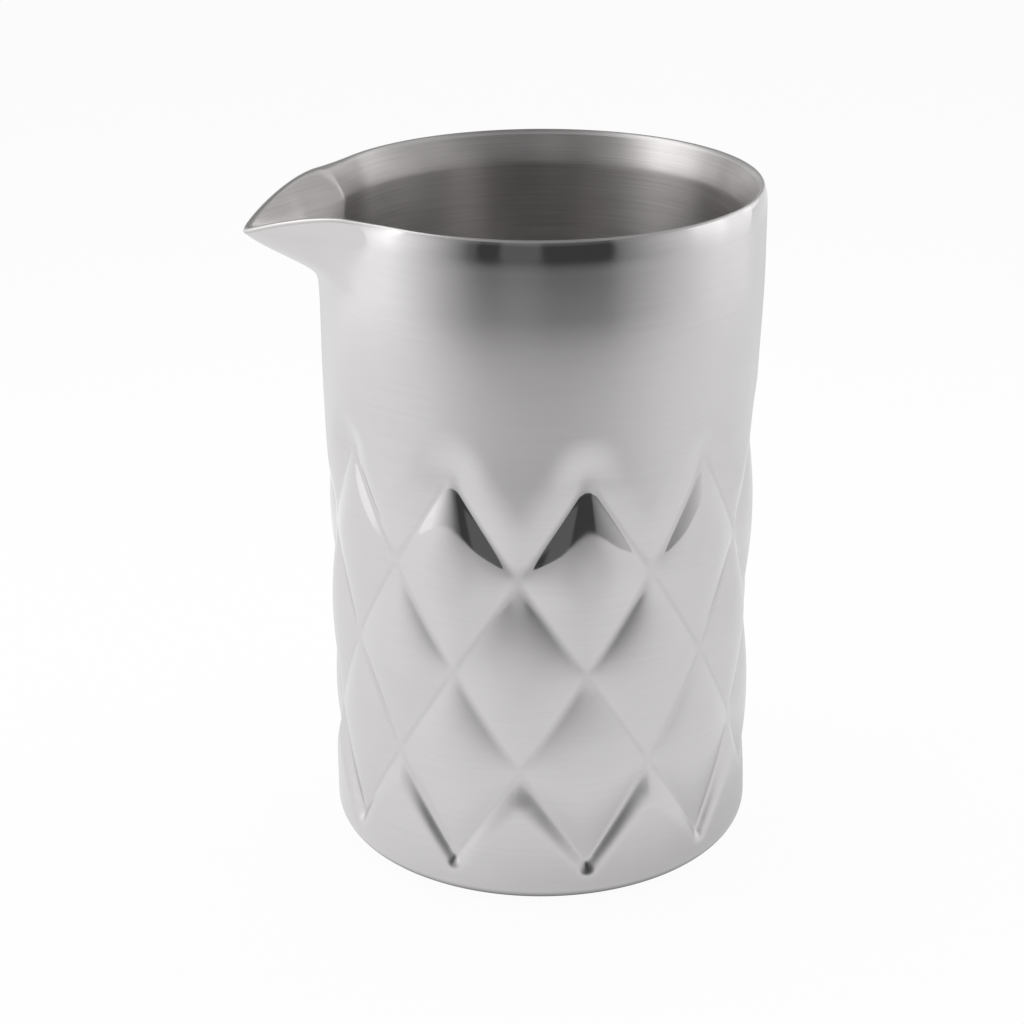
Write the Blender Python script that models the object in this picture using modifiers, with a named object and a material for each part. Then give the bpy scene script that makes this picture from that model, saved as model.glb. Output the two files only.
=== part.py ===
"""Double-wall steel mixing cup with a pouring spout and a wall embossed with diamonds.

Metres, +Z up. The origin is on the cup's axis at the underside of its base, and the spout points along -X.
"""
import math

import bpy
import bmesh

MM = 0.001

# Sheets, seams and the clearance kept between neighbouring pieces
SHELL_SHEET = 0.5 * MM
LINER_SHEET = 0.4 * MM
FIT = 0.3 * MM
RIM_BEAD = 0.65 * MM
SEAM_BEAD = 0.5 * MM

# Outer wall: its height, the crest of the pillows, the groove depth, the flare and the roll-in at the rim
CUP_HEIGHT = 144.6 * MM
BODY_RADIUS = 45.8 * MM
GROOVE_DEPTH = 1.4 * MM
SHOULDER_FLARE = 1.0 * MM
RIM_INSET = 0.8 * MM
RIM_ROLL_HEIGHT = 7.0 * MM
FLARE_HEIGHT = 34.0 * MM
BASE_CORNER = 5.0 * MM

# Diamond band: whole diamonds round the cup, rows of them, and the step between lattice levels
DIAMONDS_ROUND = 10
DIAMOND_ROWS = 3
ROW_STEP = 21.5 * MM
BAND_FOOT = 9.2 * MM
UPPER_EASE = 9.0 * MM
LOWER_EASE = 6.0 * MM
LOWER_STEEPNESS = 3.0

# Spout: how far it stands out, how far the tip and the keel's root lie below the rim, and its half angles
SPOUT_REACH = 15.1 * MM
TIP_DROP = 6.4 * MM
KEEL_DROP = 15.8 * MM
KEEL_SLOPE = 0.85
KEEL_FILLET = 2.4 * MM
LIP_SETBACK = 2.0 * MM
LIP_CURVE = 1.7
HALF_ANGLE_TOP = math.radians(31.0)
HALF_ANGLE_LOW = math.radians(25.0)
HALF_ANGLE_DEPTH = 11.0 * MM
FLANK_POWER = 1.5
SPOUT_ZONE = 26.0 * MM

# Liner: the space to the grooves and to the spout's skin, the flare at the rim, the trough and the floor
WALL_GAP = 1.1 * MM
LIP_GAP = 0.45 * MM
TROUGH_RISE = 1.3
TROUGH_INSET = 0.45
LINER_FLARE_DEPTH = 4.5 * MM
TROUGH_LIFT = 0.6 * MM
LINER_FLOOR = 9.0 * MM
LINER_CORNER = 6.0 * MM

# Base: the opening that the cover closes, the evacuation hole with its dimple and seal, and the getter
BASE_OPENING = 36.0 * MM
DIMPLE_RADIUS = 8.0 * MM
DIMPLE_WALL = 2.0 * MM
DIMPLE_RISE = 1.2 * MM
PORT_RADIUS = 2.0 * MM
SEAL_HEAD = 1.4 * MM
SEAL_TAPER = 0.6
GETTER_RADIUS = 4.5 * MM
GETTER_HEIGHT = 1.2 * MM
GETTER_OFFSET = 22.0 * MM
HOLDER_SHEET = 0.4 * MM

# Facets
STEPS_PER_HALF_DIAMOND = 3
SPOUT_BANDS = 8
SPOUT_GRADING = 1.3
PLAIN_BANDS = 3
FOOT_BANDS = 2
CORNER_FACETS = 3
RING_SIDES = 40
SMALL_SIDES = 20
BEAD_SIDES = 6
LIP_STEP = math.radians(2.6)
RIM_STEP = math.radians(6.0)
BISECTIONS = 40
ROUNDING = 0.01 * MM

# Sizes that follow from those above
BAND_TOP = BAND_FOOT + (DIAMOND_ROWS + 1) * ROW_STEP
BAND_MIDDLE = 0.5 * (BAND_FOOT + BAND_TOP)
HALF_ROWS = 0.5 * (DIAMOND_ROWS + 1)
HALF_DIAMOND = math.pi / DIAMONDS_ROUND
COLUMNS = 2 * DIAMONDS_ROUND * STEPS_PER_HALF_DIAMOND
SHOULDER_RADIUS = BODY_RADIUS + SHOULDER_FLARE
RIM_RADIUS = SHOULDER_RADIUS - RIM_INSET
SKIN_STEP = SHELL_SHEET + LIP_GAP + LINER_SHEET
LINER_RADIUS = BODY_RADIUS - GROOVE_DEPTH - SHELL_SHEET - WALL_GAP - LINER_SHEET
LIP_RADIUS = RIM_RADIUS - SKIN_STEP
TIP_REACH = SHOULDER_RADIUS + SPOUT_REACH
EDGE_DROP = 2 * RIM_BEAD + FIT
KEEL_BEND = (SPOUT_REACH - KEEL_SLOPE * (KEEL_DROP - TIP_DROP)) / (KEEL_DROP - TIP_DROP) ** 2

COVER_WELD_HEIGHT = SHELL_SHEET + FIT + SEAM_BEAD
BOTTOM_HEIGHT = COVER_WELD_HEIGHT + SEAM_BEAD + FIT
BOTTOM_TOP = BOTTOM_HEIGHT + SHELL_SHEET
SHELL_WELD_HEIGHT = BOTTOM_TOP + FIT + SEAM_BEAD

STEEL = (0.63, 0.62, 0.61, 1.0)


def ease(value):
    """A smooth step from 0 to 1."""
    t = min(max(value, 0.0), 1.0)
    return t * t * (3.0 - 2.0 * t)


def wall_radius(height):
    """Radius of the outer wall before it is embossed: it flares a little, then rolls in at the rim."""
    flare = ease((height - BAND_TOP) / FLARE_HEIGHT)
    roll = max(0.0, 1.0 - (CUP_HEIGHT - height) / RIM_ROLL_HEIGHT)
    return BODY_RADIUS + SHOULDER_FLARE * flare - RIM_INSET * roll ** 3


def liner_radius(height):
    """Radius of the liner's inside face: a straight wall whose edge flares out to the rim."""
    below_edge = max(0.0, CUP_HEIGHT - EDGE_DROP - height)
    flare = max(0.0, 1.0 - below_edge / LINER_FLARE_DEPTH)
    return LINER_RADIUS + (LIP_RADIUS - LINER_RADIUS) * flare ** 2


def base_corner_radius(height, inset=0.0):
    """Radius of the rounded base corner at a height, or of its inside face."""
    centre = BODY_RADIUS - BASE_CORNER
    drop = BASE_CORNER - height
    return centre + math.sqrt(max(0.0, (BASE_CORNER - inset) ** 2 - drop ** 2))


def lattice(angle, height):
    """Place on the lattice, in half diamonds round the cup and in row steps from the band's middle."""
    return angle / HALF_DIAMOND, (height - BAND_MIDDLE) / ROW_STEP


def rise(distance, width, power):
    """How far the surface has risen out of a groove, from 0 to 1."""
    return 1.0 - max(0.0, 1.0 - distance / width) ** power


def groove_distance(family):
    """Distance to the nearest groove of a family of parallel ones, from 0 to 1 half-way between two."""
    return abs((family % 2.0) - 1.0)


def segment_distance(x, y, ax, ay, bx, by):
    """Distance from a point to a straight stretch of groove."""
    dx, dy = bx - ax, by - ay
    t = ((x - ax) * dx + (y - ay) * dy) / (dx * dx + dy * dy)
    t = min(max(t, 0.0), 1.0)
    return math.hypot(x - ax - t * dx, y - ay - t * dy)


def plain_relief(across, above, width, power):
    """Relief of a plain zone beyond the outermost zigzag groove, whose apexes lie at height 0."""
    half_width = BODY_RADIUS * HALF_DIAMOND
    relief = 1.0
    for start, end in ((-1, 0), (0, 1), (1, 2)):
        start_height = -ROW_STEP * (start % 2)
        end_height = -ROW_STEP * (end % 2)
        distance = segment_distance(across * half_width, above,
                                    start * half_width, start_height, end * half_width, end_height)
        relief *= rise(distance, width, power)
    return relief


def diamond_relief(angle, height):
    """Relief of the embossed wall: 0 in a groove and 1 on the crest of a pillow or on the plain wall."""
    u, v = lattice(angle, height)
    from_apex = abs((u % 2.0) - 1.0)
    zigzag = HALF_ROWS - from_apex
    if v > zigzag:
        return plain_relief(from_apex, (v - HALF_ROWS) * ROW_STEP, UPPER_EASE, 2.0)
    if v < -zigzag:
        return plain_relief(from_apex, -(v + HALF_ROWS) * ROW_STEP, LOWER_EASE, LOWER_STEEPNESS)
    relief = 1.0
    for family in (u + v, u - v):
        relief *= rise(groove_distance(family), 1.0, 2.0)
    return relief


def spout_angle(angle):
    """Angle from the middle of the spout, which points along -X."""
    return math.remainder(angle - math.pi, 2.0 * math.pi)


def keel_reach(drop):
    """How far the spout's keel lies from the axis at a depth below the rim."""
    below_tip = drop - TIP_DROP
    return TIP_REACH - KEEL_SLOPE * below_tip - KEEL_BEND * max(below_tip, 0.0) ** 2


def spout_bulge(angle, drop, wall, keel):
    """How far the spout bulges out of a wall, with a fillet where its keel meets the wall."""
    stand = keel - wall
    stand = 0.5 * (stand + math.hypot(stand, KEEL_FILLET))
    narrowing = min(max(drop / HALF_ANGLE_DEPTH, 0.0), 1.0)
    half_angle = HALF_ANGLE_TOP + (HALF_ANGLE_LOW - HALF_ANGLE_TOP) * narrowing * (2.0 - narrowing)
    flank = max(0.0, 1.0 - abs(angle) / half_angle)
    return stand * flank ** FLANK_POWER


def shell_radius(angle, height):
    """Radius of the outer face, with its diamonds and its spout."""
    wall = wall_radius(height)
    bulge = spout_bulge(spout_angle(angle), CUP_HEIGHT - height, wall, keel_reach(CUP_HEIGHT - height))
    return wall - GROOVE_DEPTH * (1.0 - diamond_relief(angle, height)) + bulge


def inside_radius(angle, height):
    """Radius of the liner's inside face, with the trough that runs out into the spout."""
    wall = liner_radius(height)
    drop = CUP_HEIGHT - height
    keel = keel_reach(drop + TROUGH_RISE * SKIN_STEP) - TROUGH_INSET * SKIN_STEP
    return wall + spout_bulge(spout_angle(angle), drop, wall, keel)


def lip_height(angle):
    """Height of the lip, which dips from the rim to the spout's tip."""
    low, high = 0.0, KEEL_DROP
    for _ in range(BISECTIONS):
        drop = 0.5 * (low + high)
        along = shell_radius(angle, CUP_HEIGHT - drop) * math.cos(spout_angle(angle))
        start = RIM_RADIUS - LIP_SETBACK
        share = max(0.0, (along - start) / (TIP_REACH - start))
        if TIP_DROP * share ** LIP_CURVE > drop:
            low = drop
        else:
            high = drop
    return CUP_HEIGHT - 0.5 * (low + high)


def even_steps(first, last, count):
    """Evenly spaced values from first to last, both included."""
    return [first + (last - first) * i / count for i in range(count + 1)]


def corner_arc(centre_radius, centre_height, radius, facets):
    """Points of a quarter round from the wall down to the floor, without its first point."""
    angles = even_steps(0.0, 0.5 * math.pi, facets)[1:]
    return [(centre_radius + radius * math.cos(a), centre_height - radius * math.sin(a)) for a in angles]


def clear_scene():
    """Remove every object from the scene."""
    for item in list(bpy.data.objects):
        bpy.data.objects.remove(item, do_unlink=True)


def metal(name, colour, roughness, metallic=1.0):
    """A Principled material."""
    material = bpy.data.materials.new(name)
    material.use_nodes = True
    shader = material.node_tree.nodes["Principled BSDF"]
    shader.inputs["Base Color"].default_value = colour
    shader.inputs["Roughness"].default_value = roughness
    shader.inputs["Metallic"].default_value = metallic
    return material


def add_part(name, data, material, collection):
    """An object for one piece, with its own material, in the cup's collection."""
    part = bpy.data.objects.new(name, data)
    data.materials.append(material)
    collection.objects.link(part)
    return part


def smooth(part, sharp_angle=math.radians(40.0)):
    """Smooth shading with crisp edges."""
    part.data.shade_smooth()
    part.data.set_sharp_from_angle(angle=sharp_angle)


def turned(name, profile, sides, material, collection):
    """A turned shape from a profile of (radius, height) points whose outer side runs down."""
    mesh = bpy.data.meshes.new(name)
    points = [(radius, 0.0, height) for radius, height in profile]
    mesh.from_pydata(points, [(i, i + 1) for i in range(len(points) - 1)], [])
    part = add_part(name, mesh, material, collection)
    screw = part.modifiers.new("Turn", 'SCREW')
    screw.axis = 'Z'
    screw.angle = 2.0 * math.pi
    screw.steps = sides
    screw.render_steps = sides
    screw.use_merge_vertices = True
    screw.merge_threshold = 0.00001
    screw.use_smooth_shade = True
    return part


def sheet_metal(part, thickness, outwards):
    """Give an open surface its sheet thickness, to the inside or to the outside of its faces."""
    solidify = part.modifiers.new("Sheet", 'SOLIDIFY')
    solidify.thickness = thickness
    solidify.offset = 1.0 if outwards else -1.0
    solidify.use_even_offset = True
    return part


def plain_mesh(part):
    """Replace a part's mesh and modifiers by the mesh that they make."""
    graph = bpy.context.evaluated_depsgraph_get()
    mesh = bpy.data.meshes.new_from_object(part.evaluated_get(graph))
    mesh.name = part.name
    part.modifiers.clear()
    part.data = mesh
    return part


def trimmed_height(height, angle, lean):
    """Height of a blank's row once its top is trimmed to the lip, below the bead and its leaning edge."""
    foot = CUP_HEIGHT - SPOUT_ZONE
    if height <= foot:
        return height
    spout_share = max(0.0, 1.0 - abs(spout_angle(angle)) / HALF_ANGLE_TOP)
    top = lip_height(angle) - EDGE_DROP - lean * spout_share
    return foot + (height - foot) * (top - foot) / (CUP_HEIGHT - foot)


def form_wall(part, radius_at, foot, corner_shift, lean):
    """Press a turned blank to its final shape: the wall to a radius, the corner below it by a shift."""
    for vertex in part.data.vertices:
        x, y, height = vertex.co
        angle = math.atan2(y, x)
        if height > foot - ROUNDING:
            height = trimmed_height(height, angle, lean)
            radius = radius_at(angle, height)
        else:
            radius = math.hypot(x, y) + corner_shift(angle, height)
        vertex.co = (radius * math.cos(angle), radius * math.sin(angle), height)


def lattice_shift(ends, lean):
    """How far a face's diagonal departs from the direction of a groove family."""
    first, second = (corner.co for corner in ends)
    turn = math.remainder(math.atan2(first.y, first.x) - math.atan2(second.y, second.x), 2.0 * math.pi)
    return abs(turn / HALF_DIAMOND + lean * (first.z - second.z) / ROW_STEP)


def crease_along_grooves(part):
    """Split the four-sided faces of the diamond band along its groove lines."""
    mesh = bmesh.new()
    mesh.from_mesh(part.data)
    for face in list(mesh.faces):
        middle = face.calc_center_median()
        if len(face.verts) != 4 or not BASE_CORNER < middle.z < BAND_TOP:
            continue
        u, v = lattice(math.atan2(middle.y, middle.x), middle.z)
        lean = 1.0 if groove_distance(u + v) < groove_distance(u - v) else -1.0
        first, second, third, fourth = face.verts
        diagonals = ((first, third), (second, fourth))
        bmesh.utils.face_split(face, *min(diagonals, key=lambda ends: lattice_shift(ends, lean)))
    mesh.to_mesh(part.data)
    mesh.free()


def spout_rows():
    """Heights of the rows that shape the spout, closer together towards the rim."""
    shares = [(i / SPOUT_BANDS) ** SPOUT_GRADING for i in range(SPOUT_BANDS + 1)]
    return [CUP_HEIGHT - share * SPOUT_ZONE for share in shares]


def build_outer_shell(collection):
    """Outer wall with its diamonds, the outer skin of the spout and the rolled foot, from one sheet."""
    heights = spout_rows()
    heights += even_steps(heights[-1], BAND_TOP, PLAIN_BANDS)[1:]
    heights += even_steps(BAND_TOP, BAND_FOOT, (DIAMOND_ROWS + 1) * STEPS_PER_HALF_DIAMOND)[1:]
    heights += even_steps(BAND_FOOT, BASE_CORNER, FOOT_BANDS)[1:]
    profile = [(BODY_RADIUS, height) for height in heights]
    profile += corner_arc(BODY_RADIUS - BASE_CORNER, BASE_CORNER, BASE_CORNER, CORNER_FACETS)
    profile.append((BASE_OPENING, 0.0))
    steel = metal("polished_steel", STEEL, 0.18)
    part = plain_mesh(turned("outer_shell", profile, COLUMNS, steel, collection))

    def corner_shift(angle, height):
        return -GROOVE_DEPTH * (1.0 - diamond_relief(angle, height)) * height / BASE_CORNER

    form_wall(part, shell_radius, BASE_CORNER, corner_shift, SHELL_SHEET)
    crease_along_grooves(part)
    smooth(part)
    return sheet_metal(part, SHELL_SHEET, outwards=False)


def build_inner_liner(collection):
    """Drawn liner: floor, straight wall, flare at the rim and the trough of the spout."""
    heights = spout_rows()
    corner_top = LINER_FLOOR + LINER_CORNER
    heights += even_steps(heights[-1], corner_top, PLAIN_BANDS)[1:]
    profile = [(LINER_RADIUS, height) for height in heights]
    profile += corner_arc(LINER_RADIUS - LINER_CORNER, corner_top, LINER_CORNER, CORNER_FACETS)
    profile.append((0.0, LINER_FLOOR))
    steel = metal("brushed_steel", STEEL, 0.32)
    part = plain_mesh(turned("inner_liner", profile, COLUMNS, steel, collection))
    form_wall(part, inside_radius, corner_top, lambda angle, height: 0.0, -TROUGH_LIFT)
    smooth(part)
    return sheet_metal(part, LINER_SHEET, outwards=True)


def build_rim_weld(collection):
    """Rounded weld along the rim and the spout's lip, which joins the two walls."""
    curve = bpy.data.curves.new("rim_weld", 'CURVE')
    curve.dimensions = '3D'
    curve.twist_mode = 'Z_UP'
    curve.bevel_depth = RIM_BEAD
    curve.bevel_resolution = 2
    lip_start, lip_end = math.pi - HALF_ANGLE_TOP, math.pi + HALF_ANGLE_TOP
    rim_end = lip_start + 2.0 * math.pi
    angles = even_steps(lip_start, lip_end, round((lip_end - lip_start) / LIP_STEP))
    angles += even_steps(lip_end, rim_end, round((rim_end - lip_end) / RIM_STEP))[1:-1]
    path = curve.splines.new('POLY')
    path.points.add(len(angles) - 1)
    path.use_cyclic_u = True
    for point, angle in zip(path.points, angles):
        top = lip_height(angle)
        height = top - RIM_BEAD
        outer = shell_radius(angle, height)
        inner = inside_radius(angle, height)
        radius = 0.5 * (outer + inner)
        point.co = (radius * math.cos(angle), radius * math.sin(angle), height, 1.0)
    return add_part("rim_weld", curve, metal("rim_steel", STEEL, 0.15), collection)


def ring_bead(name, radius, height, collection):
    """A weld bead round the axis."""
    bpy.ops.mesh.primitive_torus_add(major_radius=radius, minor_radius=SEAM_BEAD, location=(0.0, 0.0, height),
                                     major_segments=RING_SIDES, minor_segments=BEAD_SIDES)
    part = bpy.context.object
    part.name = name
    part.data.name = name
    part.data.materials.append(metal(name + "_steel", STEEL, 0.45))
    for owner in list(part.users_collection):
        owner.objects.unlink(part)
    collection.objects.link(part)
    part.data.shade_smooth()
    return part


def build_base(collection):
    """Flat base cover with its weld, and the structural bottom above it with its weld."""
    cover = BASE_OPENING - FIT
    turned("base_cover", [(0.0, SHELL_SHEET), (cover, SHELL_SHEET), (cover, 0.0), (0.0, 0.0)], RING_SIDES,
           metal("cover_steel", STEEL, 0.35), collection)
    ring_bead("cover_weld", BASE_OPENING - 0.5 * FIT, COVER_WELD_HEIGHT, collection)

    edge = base_corner_radius(BOTTOM_HEIGHT, SHELL_SHEET) - FIT
    crown = BOTTOM_HEIGHT + DIMPLE_RISE
    profile = [(PORT_RADIUS, crown), (DIMPLE_RADIUS - DIMPLE_WALL, crown), (DIMPLE_RADIUS, BOTTOM_HEIGHT),
               (edge, BOTTOM_HEIGHT)]
    bottom = turned("shell_bottom", profile, RING_SIDES, metal("bottom_steel", STEEL, 0.4), collection)
    sheet_metal(bottom, SHELL_SHEET, outwards=True)
    weld = base_corner_radius(SHELL_WELD_HEIGHT, SHELL_SHEET) - FIT - SEAM_BEAD
    ring_bead("shell_weld", weld, SHELL_WELD_HEIGHT, collection)


def build_seal(collection):
    """Solder seal in the dimple's recess, with a nub in the evacuation hole."""
    top = BOTTOM_HEIGHT + DIMPLE_RISE - FIT
    head = DIMPLE_RADIUS - 2.0 * DIMPLE_WALL
    nub = PORT_RADIUS - FIT
    profile = [(0.0, top + SHELL_SHEET), (nub, top + SHELL_SHEET), (nub, top), (head, top),
               (head, top - 0.5 * SEAL_HEAD), (SEAL_TAPER * head, top - SEAL_HEAD), (0.0, top - SEAL_HEAD)]
    turned("seal_plug", profile, SMALL_SIDES, metal("solder", (0.5, 0.5, 0.5, 1.0), 0.5), collection)


def build_getter(collection):
    """Getter pellet in its open holder, on the vacuum side of the structural bottom."""
    floor = BOTTOM_TOP + FIT
    pellet_foot = floor + HOLDER_SHEET + FIT
    inside = GETTER_RADIUS + FIT
    outside = inside + HOLDER_SHEET
    top = pellet_foot + 0.5 * GETTER_HEIGHT
    cup = [(0.0, floor + HOLDER_SHEET), (inside, floor + HOLDER_SHEET), (inside, top), (outside, top),
           (outside, floor), (0.0, floor)]
    pellet_top = pellet_foot + GETTER_HEIGHT
    pellet = [(0.0, pellet_top), (GETTER_RADIUS, pellet_top), (GETTER_RADIUS, pellet_foot),
              (0.0, pellet_foot)]
    holder = turned("getter_holder", cup, SMALL_SIDES, metal("holder_steel", STEEL, 0.4), collection)
    alloy = metal("getter_alloy", (0.2, 0.2, 0.21, 1.0), 0.7)
    getter = turned("getter", pellet, SMALL_SIDES, alloy, collection)
    for part in (holder, getter):
        part.location.x = GETTER_OFFSET


def build_cup():
    """Build every piece of the cup."""
    clear_scene()
    collection = bpy.data.collections.new("mixing_cup")
    bpy.context.scene.collection.children.link(collection)
    build_outer_shell(collection)
    build_inner_liner(collection)
    build_rim_weld(collection)
    build_base(collection)
    build_seal(collection)
    build_getter(collection)


build_cup()
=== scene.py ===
"""Looks of a double-wall steel mixing cup with a pinched spout and a wall embossed with diamonds.

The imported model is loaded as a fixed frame, in metres, +Z up, with the spout along -X. The two walls, the
rim and the base are modelled again with a fine surface, and every steel gets its own grain and polish.
"""

import logging
import math
from dataclasses import dataclass, field
from enum import Enum
from typing import Any, Callable, Optional, Union

import bmesh
import bpy
import numpy as np
from mathutils import Matrix, Vector


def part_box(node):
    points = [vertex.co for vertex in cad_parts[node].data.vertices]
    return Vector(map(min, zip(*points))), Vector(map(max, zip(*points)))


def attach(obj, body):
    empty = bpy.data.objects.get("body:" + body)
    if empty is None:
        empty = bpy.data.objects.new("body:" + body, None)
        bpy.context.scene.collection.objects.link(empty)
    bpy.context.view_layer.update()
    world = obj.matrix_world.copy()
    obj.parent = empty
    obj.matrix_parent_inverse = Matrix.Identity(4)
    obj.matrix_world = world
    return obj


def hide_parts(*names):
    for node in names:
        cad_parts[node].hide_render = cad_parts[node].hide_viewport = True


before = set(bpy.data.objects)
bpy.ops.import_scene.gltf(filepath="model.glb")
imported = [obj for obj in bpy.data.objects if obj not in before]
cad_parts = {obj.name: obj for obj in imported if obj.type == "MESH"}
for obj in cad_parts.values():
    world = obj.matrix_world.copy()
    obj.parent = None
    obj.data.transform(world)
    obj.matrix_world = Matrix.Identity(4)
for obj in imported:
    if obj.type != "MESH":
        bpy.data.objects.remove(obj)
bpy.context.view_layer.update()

MM = 0.001
BODY = "root"
WHITE = (1.0, 1.0, 1.0, 1.0)
MERGE_DISTANCE = 0.001 * MM
CRISP_ANGLE = math.radians(50.0)
RadiusAt = Callable[[np.ndarray, np.ndarray], np.ndarray]
log = logging.getLogger("mixing_cup")


class Field:
    """A node's output that takes part in plain arithmetic: each operator adds a Math node."""

    def __init__(self, board: "Board", socket: bpy.types.NodeSocket) -> None:
        """Wrap a socket of a board's tree."""
        self.board = board
        self.socket = socket

    def __add__(self, other: "Value") -> "Field":
        """Sum."""
        return self.board.math("ADD", self, other)

    __radd__ = __add__

    def __sub__(self, other: "Value") -> "Field":
        """Difference."""
        return self.board.math("SUBTRACT", self, other)

    def __rsub__(self, other: "Value") -> "Field":
        """Difference from a number."""
        return self.board.math("SUBTRACT", other, self)

    def __mul__(self, other: "Value") -> "Field":
        """Product."""
        return self.board.math("MULTIPLY", self, other)

    __rmul__ = __mul__

    def __truediv__(self, other: "Value") -> "Field":
        """Quotient."""
        return self.board.math("DIVIDE", self, other)

    def __pow__(self, other: "Value") -> "Field":
        """Power."""
        return self.board.math("POWER", self, other)

    def __mod__(self, other: "Value") -> "Field":
        """Remainder, which is never negative."""
        return self.board.math("FLOORED_MODULO", self, other)

    def __abs__(self) -> "Field":
        """Size without sign."""
        return self.board.math("ABSOLUTE", self)

    def __gt__(self, other: "Value") -> "Field":
        """One where this is larger, else zero."""
        return self.board.math("GREATER_THAN", self, other)

    def least(self, other: "Value") -> "Field":
        """The smaller of two values."""
        return self.board.math("MINIMUM", self, other)

    def most(self, other: "Value") -> "Field":
        """The larger of two values."""
        return self.board.math("MAXIMUM", self, other)

    def clamped(self) -> "Field":
        """The value kept from 0 to 1."""
        return self.most(0.0).least(1.0)


Value = Union[float, Field]


class Board:
    """A node tree that is filled by plain calls and by expressions on fields."""

    def __init__(self, tree: bpy.types.NodeTree) -> None:
        """Take a tree and empty it."""
        self.tree = tree
        tree.nodes.clear()

    def node(self, kind: str, inputs: Optional[dict[Any, Any]] = None, **settings: Any) -> bpy.types.Node:
        """Add a node.

        Args:
            kind: the node's type.
            inputs: values or fields for its sockets, by name or place.
            settings: the node's own settings, which are set first.

        Returns:
            The new node.
        """
        node = self.tree.nodes.new(kind)
        for name, value in settings.items():
            setattr(node, name, value)
        for key, value in (inputs or {}).items():
            if isinstance(value, Field):
                self.tree.links.new(value.socket, node.inputs[key])
            else:
                node.inputs[key].default_value = value
        return node

    def out(self, node: bpy.types.Node, key: Union[str, int] = 0) -> Field:
        """One output of a node, as a field."""
        return Field(self, node.outputs[key])

    def math(self, operation: str, *values: Value) -> Field:
        """A Math node on one, two or three values."""
        return self.out(self.node("ShaderNodeMath", dict(enumerate(values)), operation=operation))

    def measure(self, operation: str, *vectors: Any) -> Field:
        """A number from a Vector Math node on one or two vectors."""
        node = self.node("ShaderNodeVectorMath", dict(enumerate(vectors)), operation=operation)
        return self.out(node, "Value")

    def split(self, vector: Field) -> tuple[Field, Field, Field]:
        """The three parts of a vector."""
        parts = self.node("ShaderNodeSeparateXYZ", {0: vector})
        return self.out(parts, 0), self.out(parts, 1), self.out(parts, 2)

    def join(self, x: Value, y: Value, z: Value) -> Field:
        """A vector from its three parts."""
        return self.out(self.node("ShaderNodeCombineXYZ", {0: x, 1: y, 2: z}))

    def ease(self, value: Field, low: float, high: float) -> Field:
        """A smooth step from 0 to 1 between two values."""
        return self.out(self.node("ShaderNodeMapRange", {"Value": value, "From Min": low, "From Max": high},
                                  interpolation_type='SMOOTHSTEP'))

    def noise(self, vector: Field, scale: float, detail: float = 2.0) -> Field:
        """A cloudy pattern from 0 to 1."""
        noise = self.node("ShaderNodeTexNoise", {"Vector": vector, "Scale": scale, "Detail": detail})
        return self.out(noise)

    def blend(self, factor: Field, first: Any, second: Any) -> Field:
        """A colour between two colours."""
        mix = self.node("ShaderNodeMix", {0: factor, 6: first, 7: second}, data_type='RGBA')
        return self.out(mix, 2)


def ease(value: np.ndarray) -> np.ndarray:
    """A smooth step from 0 to 1."""
    t = np.clip(value, 0.0, 1.0)
    return t * t * (3.0 - 2.0 * t)


def window(value: np.ndarray, span: tuple[float, ...], edge: float) -> np.ndarray:
    """1 inside a span and 0 outside it, with soft edges within the span."""
    start, end = span
    return ease((value - start) / edge) * ease((end - value) / edge)


def radians(*degrees: float) -> tuple[float, ...]:
    """Some angles in degrees, as radians."""
    return tuple(math.radians(angle) for angle in degrees)


def add_object(name: str, data: bpy.types.ID) -> bpy.types.Object:
    """A new object in the scene, at the origin."""
    thing = bpy.data.objects.new(name, data)
    bpy.context.scene.collection.objects.link(thing)
    return thing


def new_material(name: str) -> tuple[bpy.types.Material, Board]:
    """A new material, and the board of its empty tree."""
    material = bpy.data.materials.new(name)
    material.use_nodes = True
    return material, Board(material.node_tree)


def stage_mesh(name: str, points: list[tuple[float, ...]], faces: list[tuple[int, ...]],
               material: bpy.types.Material) -> bpy.types.Object:
    """A mesh of the stage, which isn't part of the cup.

    Args:
        name: its name.
        points: its points.
        faces: the corners of each face.
        material: its material.

    Returns:
        The object, linked to the scene.
    """
    mesh = bpy.data.meshes.new(name)
    mesh.from_pydata(points, [], faces)
    mesh.materials.append(material)
    stage = add_object(name, mesh)
    return stage


class Grain(Enum):
    """Which way the fine grinding lines of a steel run."""

    LEVEL = "level lines round the wall"
    RINGS = "rings on a flat face and level lines on a wall"
    MOTTLE = "no lines, only a fine mottle"


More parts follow.
